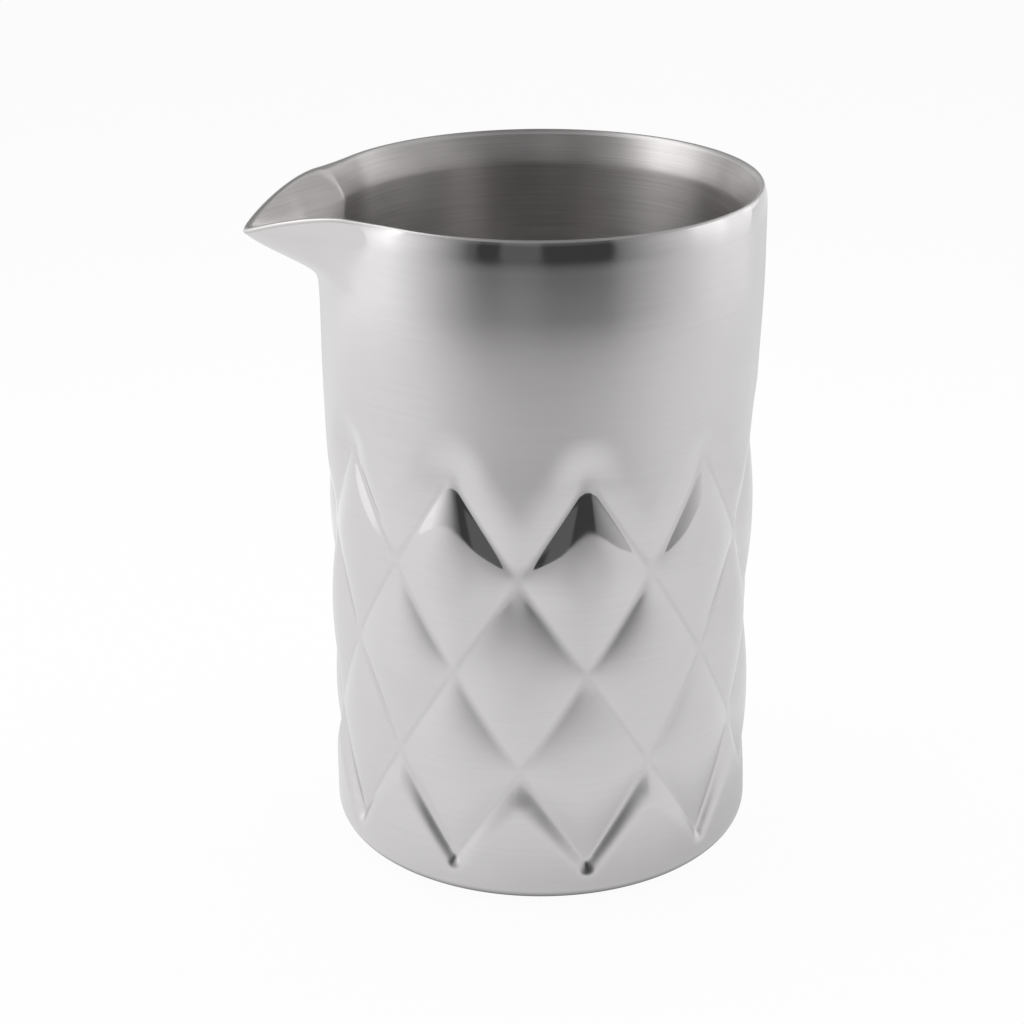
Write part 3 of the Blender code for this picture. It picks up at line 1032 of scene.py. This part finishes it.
@dataclass
class OuterWall(Piece):
    """The embossed outer wall with the spout's outer skin and the rolled foot.

    Attributes:
        emboss: the diamonds pressed into it.
        sheet: the sheet's thickness.
        spout_zone: how far below the rim the spout shapes the wall.
        spout_rows: rows of points in that zone.
        crowding: how closely these rows crowd towards the lip.
        plain_rows: rows on the plain wall between the spout and the band.
        foot_rows: rows between the band and the corner at the base.
        corner_count: rows round that corner.
        hidden_step: visible rows to one row of the hidden face.
        hidden_corner: rows round the corner on the hidden face.
        hidden_gap: the hidden face's distance behind the spout's skin, in sheets.
    """

    emboss: DiamondEmboss = field(default_factory=DiamondEmboss)
    sheet: float = 0.5 * MM
    spout_zone: float = 26.0 * MM
    spout_rows: int = 44
    crowding: float = 1.3
    plain_rows: int = 14
    foot_rows: int = 6
    corner_count: int = 14
    hidden_step: int = 4
    hidden_corner: int = 4
    hidden_gap: float = 1.5

    name: str = field(init=False, default="outer_wall")
    node: str = field(init=False, default="outer_shell")

    def heights(self) -> list[np.ndarray]:
        """Heights of the rows of the outer face, from the lip down to the base's corner.

        Returns:
            A height for each column, row by row, with the band's rows where the lattice needs them.
        """
        form, emboss = self.form, self.emboss
        zone_foot = form.height - self.spout_zone
        per_level = self.columns // (2 * emboss.diamonds_round)
        band_foot = emboss.middle - emboss.half_rows * emboss.row_step
        band_rows = int(2 * emboss.half_rows * per_level)
        rows = self.zone_heights(form.outer_edge(self.angles), zone_foot, self.spout_rows, self.crowding)
        rows += self.level_heights(zone_foot, form.band_top, self.plain_rows)
        rows += self.level_heights(form.band_top, band_foot, band_rows)
        rows += self.level_heights(band_foot, form.base_corner, self.foot_rows)
        return rows

    def outer_rows(self) -> list[np.ndarray]:
        """The visible face.

        Returns:
            Its rings, from the lip down to the opening in the base.
        """
        form = self.form
        rows = [self.round_row(form.outside(self.angles, height), height) for height in self.heights()]
        rows += self.corner_rows(form.body_radius - form.base_corner, form.base_corner, form.base_corner,
                                 self.corner_count)
        rows.append(self.round_row(form.base_opening, 0.0))
        return rows

    def inner_rows(self) -> list[np.ndarray]:
        """The hidden face.

        Returns:
            Its rings, from the opening in the base up to the lip.
        """
        form = self.form
        behind = form.body_radius - self.emboss.depth - self.sheet
        corner = form.base_corner - self.sheet
        centre = form.body_radius - form.base_corner
        rows = [self.round_row(form.base_opening, self.sheet), self.round_row(centre, self.sheet)]
        rise = self.corner_rows(behind - corner, form.base_corner, corner, self.hidden_corner)[::-1]
        rows += rise[1:]
        rows += [self.round_row(behind, level) for level in (form.base_corner, form.band_top)]
        gap = self.hidden_gap * self.sheet
        for height in self.heights()[:self.spout_rows:self.hidden_step][::-1]:
            rows.append(self.round_row(form.outside(self.angles, height) - gap, height))
        return rows

    def rows(self) -> np.ndarray:
        """Rings down the visible face and up the hidden one."""
        return np.array(self.outer_rows() + self.inner_rows())

    def ring_faces(self, rows: np.ndarray) -> np.ndarray:
        """Faces between the rings, each turned so that it is split along the groove nearest to it.

        Args:
            rows: the rings of points.

        Returns:
            The corners of each face.
        """
        faces = super().ring_faces(rows)
        middle = rows.reshape(-1, 3)[faces].mean(1)
        leans = self.emboss.leans(np.arctan2(middle[:, 1], middle[:, 0]), middle[:, 2])
        faces[leans] = np.roll(faces[leans], -1, 1)
        return faces

    def dress(self, piece: bpy.types.Object, steel: bpy.types.Material) -> None:
        """Mark the visible face and press the diamonds into it.

        Args:
            piece: the wall's blank.
            steel: its material.
        """
        shown = np.zeros(len(piece.data.vertices), np.float32)
        shown[:len(self.outer_rows()) * self.columns] = 1.0
        skin = piece.data.attributes.new("skin", 'FLOAT', 'POINT')
        skin.data.foreach_set("value", shown)
        self.emboss.press(piece, self.form, steel)


@dataclass
class DrawnLiner(Piece):
    """The drawn liner: its floor, its wall, the flare at the rim and the trough of the spout.

    Attributes:
        sheet: the sheet's thickness.
        spout_zone: how far below the rim the trough shapes the wall.
        spout_rows: rows of points in that zone.
        crowding: how closely these rows crowd towards the lip.
        wall_rows: rows on the plain wall.
        corner_count: rows round the corner at the floor.
        floor_rows: rings on the floor.
        hidden_step: visible rows to one row of the hidden face.
        hidden_corner: rows round the corner on the hidden face.
    """

    sheet: float = 0.4 * MM
    spout_zone: float = 24.0 * MM
    spout_rows: int = 48
    crowding: float = 1.4
    wall_rows: int = 24
    corner_count: int = 12
    floor_rows: int = 12
    hidden_step: int = 4
    hidden_corner: int = 4

    name: str = field(init=False, default="drawn_liner")
    node: str = field(init=False, default="inner_liner")

    @property
    def corner_centre(self) -> float:
        """The radius where the floor's corner is centred."""
        return self.form.liner_radius - self.form.floor_corner

    @property
    def corner_top(self) -> float:
        """The height where the floor's corner starts."""
        return self.form.floor + self.form.floor_corner

    def heights(self) -> list[np.ndarray]:
        """Heights of the rows of the inside face, from the lip down to the floor's corner.

        Returns:
            A height for each column, row by row.
        """
        form = self.form
        zone_foot = form.height - self.spout_zone
        rows = self.zone_heights(form.inner_edge(self.angles), zone_foot, self.spout_rows, self.crowding)
        rows += self.level_heights(zone_foot, self.corner_top, self.wall_rows)
        return rows

    def inner_rows(self) -> list[np.ndarray]:
        """The visible face.

        Returns:
            Its rings, from the lip down to the middle of the floor.
        """
        form = self.form
        rows = [self.round_row(form.inside(self.angles, height), height) for height in self.heights()]
        rows += self.corner_rows(self.corner_centre, self.corner_top, form.floor_corner, self.corner_count)
        across = np.linspace(self.corner_centre, 0.0, self.floor_rows + 1)[1:]
        rows += [self.round_row(radius, form.floor) for radius in across]
        return rows

    def outer_rows(self) -> list[np.ndarray]:
        """The hidden face.

        Returns:
            Its rings, from the lip down to the middle of the floor.
        """
        form = self.form
        rows = []
        for height in self.heights()[:self.spout_rows + 1:self.hidden_step]:
            rows.append(self.round_row(form.inside(self.angles, height) + self.sheet, height))
        rows.append(self.round_row(form.liner_radius + self.sheet, self.corner_top))
        rows += self.corner_rows(self.corner_centre, self.corner_top, form.floor_corner + self.sheet,
                                 self.hidden_corner)
        rows.append(self.round_row(0.0, form.floor - self.sheet))
        return rows

    def rows(self) -> np.ndarray:
        """Rings down the hidden face and up the visible one."""
        return np.array(self.outer_rows() + self.inner_rows()[::-1])


@dataclass
class RimBead(Piece):
    """The polished weld along the rim and the spout's lip, which runs smoothly into both walls.

    Attributes:
        arc_points: points over its crown.
        reach: how far the curve over the crown follows each wall's rise, as a share of the bead's width.
    """

    arc_points: int = 12
    reach: float = 2.0 / 3.0

    name: str = field(init=False, default="rim_bead")
    node: str = field(init=False, default="rim_weld")

    def edge(self, radius_at: RadiusAt, height: np.ndarray) -> tuple[np.ndarray, np.ndarray]:
        """Where a wall ends, and the direction in which it rises there.

        Args:
            radius_at: the wall's radius from angles and heights.
            height: the heights of its edge.

        Returns:
            The points of the edge and unit vectors up the wall.
        """
        step = 0.2 * MM
        top = self.round_row(radius_at(self.angles, height), height)
        below = self.round_row(radius_at(self.angles, height - step), height - step)
        rise = top - below
        return top, rise / np.linalg.norm(rise, axis=-1, keepdims=True)

    def rows(self) -> np.ndarray:
        """Rings over the crown, on curves that leave both walls in line with them.

        Returns:
            The rings, from the liner's edge to the outer wall's.
        """
        form = self.form
        outer, outer_rise = self.edge(form.outside, form.outer_edge(self.angles))
        inner, inner_rise = self.edge(form.inside, form.inner_edge(self.angles))
        handle = self.reach * np.linalg.norm(inner - outer, axis=-1, keepdims=True)
        rows = []
        for t in np.linspace(0.0, 1.0, self.arc_points + 1):
            rows.append((1.0 - t) ** 3 * outer + 3.0 * t * (1.0 - t) ** 2 * (outer + handle * outer_rise)
                        + 3.0 * t * t * (1.0 - t) * (inner + handle * inner_rise) + t ** 3 * inner)
        return np.array(rows[::-1])


@dataclass
class BaseDisc(Piece):
    """The flat cover that closes the foot, with a small round at its edge.

    Attributes:
        radius: its radius.
        sheet: its thickness.
        edge_round: the round of its lower edge.
        columns: points round it.
        edge_rows: rows round its lower edge.
        face_rows: rings on its underside.
    """

    radius: float = 35.7 * MM
    sheet: float = 0.5 * MM
    edge_round: float = 0.25 * MM
    columns: int = 180
    edge_rows: int = 4
    face_rows: int = 7

    name: str = field(init=False, default="base_disc")
    node: str = field(init=False, default="base_cover")

    def rows(self) -> np.ndarray:
        """Rings from the middle of the upper side, over the edge, to the middle of the underside.

        Returns:
            The rings of points.
        """
        flat = self.radius - self.edge_round
        rows = [self.round_row(0.0, self.sheet), self.round_row(self.radius, self.sheet),
                self.round_row(self.radius, self.edge_round)]
        rows += self.corner_rows(flat, self.edge_round, self.edge_round, self.edge_rows)
        rows += [self.round_row(radius, 0.0) for radius in np.linspace(flat, 0.0, self.face_rows + 1)[1:]]
        return np.array(rows)


@dataclass
class SealedPieces:
    """The pieces between the two walls, which keep their own solids and get their finishes here.

    Attributes:
        finishes: a finish for each node.
    """

    finishes: dict[str, SteelFinish]

    def dress(self) -> None:
        """Give each sealed node its material."""
        for node, finish in self.finishes.items():
            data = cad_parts[node].data
            data.materials.clear()
            data.materials.append(finish.material())
            log.info("%s: dressed as %s", node, finish.name)


@dataclass(frozen=True)
class PhotoCamera:
    """The camera, at the photograph's viewing angle.

    Attributes:
        photo_size: the photograph's width and height in pixels.
        focal_pixels: the lens's focal length in pixels.
        target_pixel: where the middle of the diamond band, on the axis, appears in the photograph.
        target_height: the height of that point.
        distance: the camera's distance from it.
        elevation: the camera's height above it, as an angle.
        turn: how far the camera stands from -Y towards the spout, as an angle.
        roll: how far the camera leans.
        sensor: the sensor's width in millimetres.
    """

    photo_size: int = 1024
    focal_pixels: float = 2370.74
    target_pixel: tuple[float, float] = (540.19, 588.68)
    target_height: float = 52.62 * MM
    distance: float = 522.52 * MM
    elevation: float = math.radians(24.11)
    turn: float = math.radians(12.3)
    roll: float = math.radians(0.12)
    sensor: float = 36.0

    @property
    def side(self) -> Vector:
        """Level direction from the cup towards the camera."""
        return Vector((-math.sin(self.turn), -math.cos(self.turn), 0.0))

    @property
    def right(self) -> Vector:
        """Level direction to the right, as the camera sees it."""
        return Vector((math.cos(self.turn), -math.sin(self.turn), 0.0))

    def build(self) -> None:
        """Set the camera so that the band's middle appears where the photograph shows it."""
        data = bpy.data.cameras.new("photo_camera")
        data.sensor_width = self.sensor
        data.lens = self.focal_pixels * self.sensor / self.photo_size
        camera = add_object("photo_camera", data)
        target = Vector((0.0, 0.0, self.target_height))
        back = self.side * math.cos(self.elevation) + Vector((0.0, 0.0, math.sin(self.elevation)))
        half = 0.5 * self.photo_size
        left = math.atan((self.target_pixel[0] - half) / self.focal_pixels)
        up = math.atan((self.target_pixel[1] - half) / self.focal_pixels)
        look = back.to_track_quat('Z', 'Y').to_matrix().to_4x4()
        aim = Matrix.Rotation(up, 4, 'X') @ Matrix.Rotation(left, 4, 'Y')
        lean = Matrix.Rotation(-self.roll, 4, 'Z')
        camera.matrix_world = Matrix.Translation(target + self.distance * back) @ look @ aim @ lean
        bpy.context.scene.camera = camera


@dataclass(frozen=True)
class WhiteSurround:
    """The world: white behind the cup, and dimmer overhead and towards the camera.

    Attributes:
        camera: the camera, whose side of the cup the light follows.
        white: the brightness behind the cup.
        white_edge: the cosines to the camera's side between which it gives way to the overhead light.
        overhead: the brightness above and towards the camera.
        sky_dim: how much of the white is lost higher up.
        sky_height: the sine of the elevation where that is reached.
        gap_dim: how much is lost low down, straight behind the cup.
        gap_edge: the cosines to that direction between which this sets in.
        gap_height: the sine of the elevation where it ends.
    """

    camera: PhotoCamera
    white: float = 1.2
    white_edge: tuple[float, float] = (-0.55, 0.25)
    overhead: float = 0.19
    sky_dim: float = 0.78
    sky_height: float = 0.4
    gap_dim: float = 0.6
    gap_edge: tuple[float, float] = (0.8, 1.0)
    gap_height: float = 0.3

    def build(self) -> None:
        """Make the world, which the camera itself sees as plain white."""
        world = bpy.data.worlds.new("white_tent")
        world.use_nodes = True
        board = Board(world.node_tree)
        bearing = board.out(board.node("ShaderNodeTexCoord"), "Generated")
        up = board.split(bearing)[2]
        ahead = board.measure('DOT_PRODUCT', bearing, self.camera.side)
        behind = 1.0 - board.ease(ahead, *self.white_edge)
        sky = 1.0 - self.sky_dim * board.ease(up, 0.0, self.sky_height)
        low = 1.0 - board.ease(up, 0.0, self.gap_height)
        gap = 1.0 - self.gap_dim * board.ease(0.0 - ahead, *self.gap_edge) * low
        light = self.overhead + (self.white - self.overhead) * behind * sky * gap
        seen = board.out(board.node("ShaderNodeLightPath"), "Is Camera Ray")
        strength = light + seen * (1.0 - light)
        white = board.node("ShaderNodeBackground", {"Color": WHITE, "Strength": strength})
        board.node("ShaderNodeOutputWorld", {"Surface": board.out(white)})
        bpy.context.scene.world = world


@dataclass(frozen=True)
class PaleFloor:
    """The plain pale floor, which glows with painted light and painted shade where the steel mirrors it.

    Attributes:
        camera: the camera, whose side of the cup the brightness follows.
        half: half the floor's width.
        grey: its own grey.
        white_seen: the share of plain white in what the camera sees; the rest takes the cup's shadow.
        left: the painted brightness that the steel mirrors, on the left.
        right: the same on the right.
        sides: the distances aside between which the one gives way to the other.
        dim: the brightness of the painted dim patch in front of the cup.
        dim_reach: the distance of that spot's middle from the axis.
        dim_start: the distance from its middle where the floor starts to brighten.
        dim_fade: the distance where the floor has its full brightness.
        dim_wide: how much less a distance aside counts for that.
        back_dim: how much is lost in a like painted dim patch behind the cup.
        back_fade: that spot's radius.
        foot_shadow_left: the brightness of the painted shadow round the foot, as a share, on the left.
        foot_shadow_right: the same on the right.
        foot_shadow_sides: the distances aside between which the one gives way to the other.
        foot_shadow_ring: the radii between which that painted shadow fades out.
        contact_shadow: the brightness of the painted shadow under the edge of the foot, as a share.
        contact_ring: the radii between which that painted shadow fades out.
    """

    camera: PhotoCamera
    half: float = 3000.0 * MM
    grey: float = 0.82
    white_seen: float = 0.955
    left: float = 1.0
    right: float = 0.91
    sides: tuple[float, float] = (-200.0 * MM, 200.0 * MM)
    dim: float = 0.52
    dim_reach: float = 465.0 * MM
    dim_start: float = 60.0 * MM
    dim_fade: float = 425.0 * MM
    dim_wide: float = 0.65
    back_dim: float = 0.7
    back_fade: float = 340.0 * MM
    foot_shadow_left: float = 0.98
    foot_shadow_right: float = 0.74
    foot_shadow_sides: tuple[float, float] = (-60.0 * MM, 30.0 * MM)
    foot_shadow_ring: tuple[float, float] = (50.0 * MM, 85.0 * MM)
    contact_shadow: float = 0.15
    contact_ring: tuple[float, float] = (42.0 * MM, 46.5 * MM)

    def glow(self, board: Board, place: Field) -> Field:
        """The floor's painted brightness where the steel mirrors it.

        Args:
            board: the board of the floor's material.
            place: the object coordinates, which start at the cup's axis.

        Returns:
            The painted brightness, with painted dim patches in front of the cup and behind it and a painted
            shadow round the foot.
        """
        front = self.camera.side
        ahead = board.measure('DOT_PRODUCT', place, front)
        aside = board.measure('DOT_PRODUCT', place, self.camera.right)
        radius = board.measure('LENGTH', place)
        # A painted dim patch in front of the cup, and a like one behind it.
        near = self.dim_reach - ahead
        wide = self.dim_wide * aside
        fade = board.ease(board.math("SQRT", near * near + wide * wide), self.dim_start, self.dim_fade)
        behind = board.measure('DISTANCE', place, front * -self.dim_reach)
        fade = fade - self.back_dim * (1.0 - board.ease(behind, 0.0, self.back_fade))
        # A painted shadow of the cup round its foot, darker on the right, and a painted contact shadow
        # under its edge.
        shade = self.foot_shadow_left + (self.foot_shadow_right - self.foot_shadow_left) * board.ease(aside, *self.foot_shadow_sides)
        foot = shade + (1.0 - shade) * board.ease(radius, *self.foot_shadow_ring)
        contact_shadow = self.contact_shadow + (1.0 - self.contact_shadow) * board.ease(radius, *self.contact_ring)
        # Painted light: the floor is brighter on the left than on the right.
        bright = self.left + (self.right - self.left) * board.ease(aside, *self.sides)
        return (self.dim + (bright - self.dim) * fade) * contact_shadow * foot

    def material(self) -> bpy.types.Material:
        """The floor's material.

        Returns:
            A matt white that the camera sees almost as plain white, and that glows with a painted
            brightness in the steel.
        """
        material, board = new_material("floor_white")
        rays = board.node("ShaderNodeLightPath")
        seen = board.out(rays, "Is Camera Ray")
        mirrored = board.out(rays, "Is Glossy Ray").most(board.out(rays, "Is Transmission Ray"))
        glow = self.glow(board, board.out(board.node("ShaderNodeTexCoord"), "Object"))
        matt = board.node("ShaderNodeBsdfDiffuse", {"Color": (self.grey, self.grey, self.grey, 1.0)})
        # Glossy and transmission rays see only this glow, with its painted light and painted shade.
        white = board.node("ShaderNodeEmission", {"Color": WHITE, "Strength": seen + mirrored * glow})
        share = (seen * self.white_seen + mirrored).clamped()
        mix = board.node("ShaderNodeMixShader", {0: share, 1: board.out(matt), 2: board.out(white)})
        board.node("ShaderNodeOutputMaterial", {"Surface": board.out(mix)})
        return material

    def build(self) -> None:
        """Lay the floor."""
        corners = [(x * self.half, y * self.half, 0.0) for x, y in ((-1, -1), (1, -1), (1, 1), (-1, 1))]
        stage_mesh("floor", corners, [(0, 1, 2, 3)], self.material())


@dataclass(frozen=True)
class TentBand:
    """The brightness of the tent's front at one height.

    Attributes:
        height: the height.
        sides: the brightness towards both sides, as a share of their full glow.
        middle: what is added to the dim middle.
        left: what the bright strip on the left adds.
        right: what the strip on the right adds.
        far_right: what the strip beyond that adds.
    """

    height: float
    sides: float
    middle: float = 0.0
    left: float = 0.0
    right: float = 0.0
    far_right: float = 0.0


@dataclass(frozen=True)
class TentFront:
    """The tent's front round the camera: dim in the middle and bright towards both sides.

    Bearings are angles from the camera's side of the cup, to the right.

    Attributes:
        camera: the camera.
        reach: the tent's distance from the axis.
        half: the bearing where the front ends on both sides.
        columns: points along it.
        dim: the brightness of the middle.
        dim_to: the bearing up to which the middle stays dim.
        full_left: the bearing where the left side has its full glow.
        full_right: the same on the right.
        glow_left: the full glow on the left.
        glow_right: the same on the right.
        flag: the brightness of the dark flags in the middle.
        flags: the bearings between which they hang.
        flag_edge: the width of their soft edges, as an angle.
        strips: the bearings of the bright strips on the left, on the right and beyond that.
        strip_edge: the width of their soft edges, as an angle.
        bands: the brightness by height.
    """

    camera: PhotoCamera
    reach: float = 415.0 * MM
    half: float = math.radians(124.0)
    columns: int = 249
    dim: float = 0.14
    dim_to: float = math.radians(32.0)
    full_left: float = math.radians(75.0)
    full_right: float = math.radians(95.0)
    glow_left: float = 1.2
    glow_right: float = 1.05
    flag: float = 0.06
    flags: tuple[tuple[float, ...], ...] = (radians(-31.0, -16.0), radians(-1.0, 37.0))
    flag_edge: float = math.radians(4.0)
    strips: tuple[tuple[float, ...], ...] = (radians(-112.0, -66.0), radians(72.0, 104.0),
                                             radians(112.5, 140.0))
    strip_edge: float = math.radians(9.0)
    bands: tuple[TentBand, ...] = (
        TentBand(0.0 * MM, 1.0),
        TentBand(105.0 * MM, 1.15, left=0.1, right=0.1),
        TentBand(193.0 * MM, 1.2, left=0.2, right=0.2, far_right=0.3),
        TentBand(255.0 * MM, 1.1, left=0.8, right=0.3, far_right=1.2),
        TentBand(334.0 * MM, 0.75, middle=0.1, left=1.8, far_right=2.1),
        TentBand(431.0 * MM, 0.5, middle=0.35, left=1.3, far_right=2.4),
        TentBand(545.0 * MM, 0.45, middle=0.45, left=1.5, right=0.3, far_right=0.8),
        TentBand(721.0 * MM, 0.4, middle=0.3, left=3.0, right=0.8),
        TentBand(898.0 * MM, 0.4, middle=0.1, left=1.4, right=0.6),
    )

    def glow(self, turns: np.ndarray) -> np.ndarray:
        """The brightness, band by band.

        Args:
            turns: the bearings of the front's points.

        Returns:
            One row of brightness for each band.
        """
        full_at = np.where(turns < 0.0, self.full_left, self.full_right)
        full = np.where(turns < 0.0, self.glow_left, self.glow_right)
        share = np.clip((np.abs(turns) - self.dim_to) / (full_at - self.dim_to), 0.0, 1.0)
        flags = sum(window(turns, flag, self.flag_edge) for flag in self.flags)
        dim = self.dim + (self.flag - self.dim) * flags
        strips = [window(turns, strip, self.strip_edge) for strip in self.strips]
        rows = []
        for band in self.bands:
            centre = dim + band.middle
            boost = np.dot((band.left, band.right, band.far_right), strips)
            rows.append(centre + (band.sides * full - centre) * share + boost)
        return np.array(rows)

    def cloth(self) -> bpy.types.Material:
        """The tent's material.

        Returns:
            A cloth that glows as the attribute glow of its mesh says.
        """
        material, board = new_material("tent_cloth")
        glow = board.out(board.node("ShaderNodeAttribute", attribute_name="glow"), "Fac")
        cloth = board.node("ShaderNodeEmission", {"Color": WHITE, "Strength": glow})
        board.node("ShaderNodeOutputMaterial", {"Surface": board.out(cloth)})
        return material

    def build(self) -> None:
        """Hang the front, which the camera itself doesn't see."""
        turns = np.linspace(-self.half, self.half, self.columns)
        feet = [Matrix.Rotation(turn, 3, 'Z') @ self.camera.side * self.reach for turn in turns]
        points = [(foot.x, foot.y, band.height) for band in self.bands for foot in feet]
        count = self.columns
        faces = [(i, i + 1, count + i + 1, count + i) for i in range(count * (len(self.bands) - 1))
                 if (i + 1) % count]
        front = stage_mesh("tent_front", points, faces, self.cloth())
        glow = front.data.attributes.new("glow", 'FLOAT', 'POINT')
        glow.data.foreach_set("value", self.glow(turns).ravel())
        front.visible_camera = False


@dataclass(frozen=True)
class TopLight:
    """A square soft light above the cup, a little behind it, which the steel doesn't mirror.

    Attributes:
        camera: the camera, which stands on the other side.
        size: the light's width.
        watts: its power.
        lift: its elevation.
        aim: the height on the axis that it faces.
        distance: its distance from there.
    """

    camera: PhotoCamera
    size: float = 450.0 * MM
    watts: float = 2.0
    lift: float = math.radians(82.0)
    aim: float = 80.0 * MM
    distance: float = 550.0 * MM

    def build(self) -> None:
        """Hang the light."""
        data = bpy.data.lights.new("top_softbox", 'AREA')
        data.size = self.size
        data.energy = self.watts
        light = add_object("top_softbox", data)
        light.visible_camera = False
        light.visible_glossy = False
        out = Vector((0.0, 0.0, math.sin(self.lift))) - self.camera.side * math.cos(self.lift)
        place = Vector((0.0, 0.0, self.aim)) + self.distance * out
        light.matrix_world = Matrix.Translation(place) @ out.to_track_quat('Z', 'Y').to_matrix().to_4x4()


def set_studio() -> None:
    """Set the camera, the surround, the floor, the tent's front and the light."""
    camera = PhotoCamera()
    for part in (camera, WhiteSurround(camera), PaleFloor(camera), TentFront(camera), TopLight(camera)):
        part.build()
        log.info("studio: %s", type(part).__name__)
    bpy.context.scene.view_settings.view_transform = 'Standard'


def finishes(form: CupForm) -> dict[str, SteelFinish]:
    """The finishes of the cup's pieces.

    Args:
        form: the cup's form.

    Returns:
        A finish for each node that a piece stands for or that shows its own solid.
    """
    polished = EmbossedFinish(name="polished_wall_steel", slot="polished_steel", colour=(0.7, 0.685, 0.69),
                              roughness=0.25, unevenness=0.02, line_depth=0.0002 * MM, line_pitch=0.8 * MM,
                              line_weight=0.25, grain=Grain.LEVEL, bright=0.05,
                              rim_start=form.height - 6.5 * MM, rim_full=form.height - 1.5 * MM,
                              row_low=72.0 * MM, row_high=95.0 * MM, wave_depth=0.07 * MM)
    satin = SteelFinish(name="brushed_liner_steel", slot="satin_steel", colour=(0.65, 0.625, 0.62),
                        roughness=0.38, unevenness=0.12, line_depth=0.006 * MM, line_pitch=0.3 * MM,
                        line_weight=2.0, anisotropy=0.93, grain=Grain.RINGS)
    bright = SteelFinish(name="polished_rim_steel", slot="polished_steel", colour=(0.62, 0.605, 0.6),
                         roughness=0.36, unevenness=0.06, line_depth=0.001 * MM, line_pitch=0.2 * MM,
                         line_weight=0.3)
    spun = SteelFinish(name="spun_base_steel", slot="base_steel", colour=(0.61, 0.6, 0.59),
                       roughness=0.3, unevenness=0.1, line_depth=0.005 * MM, line_pitch=0.25 * MM,
                       line_weight=2.0, anisotropy=0.5, grain=Grain.RINGS)
    mill = SteelFinish(name="mill_steel", slot="plain_steel", colour=(0.58, 0.57, 0.56),
                       roughness=0.42, unevenness=0.12, line_depth=0.004 * MM, line_pitch=0.4 * MM,
                       line_weight=0.8)
    solder = SteelFinish(name="seal_solder", slot="seal_metal", colour=(0.5, 0.5, 0.5),
                         roughness=0.5, unevenness=0.15, line_depth=0.01 * MM, line_pitch=0.6 * MM,
                         line_weight=1.0)
    pressed = SteelFinish(name="pressed_getter_powder", slot="getter_alloy", colour=(0.2, 0.2, 0.21),
                          roughness=0.7, unevenness=0.15, line_depth=0.02 * MM, line_pitch=0.3 * MM,
                          line_weight=1.0)
    return {"outer_shell": polished, "inner_liner": satin, "rim_weld": bright, "base_cover": spun,
            "cover_weld": mill, "shell_bottom": mill, "shell_weld": mill, "getter_holder": mill,
            "seal_plug": solder, "getter": pressed}


def main() -> None:
    """Build the cup's pieces in order, dress the sealed ones, set the studio and note the sizes."""
    logging.basicConfig(level=logging.INFO, format="%(name)s: %(message)s")
    form = CupForm(height=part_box("rim_weld")[1].z)
    steels = finishes(form)
    for maker in (OuterWall(form), DrawnLiner(form), RimBead(form), BaseDisc(form)):
        finish = steels.pop(maker.node)
        piece = maker.build(finish)
        log.info("%s: %d faces, %s", piece.name, len(piece.data.polygons), finish.name)
    SealedPieces(steels).dress()
    set_studio()


if __name__ == "__main__":
    main()
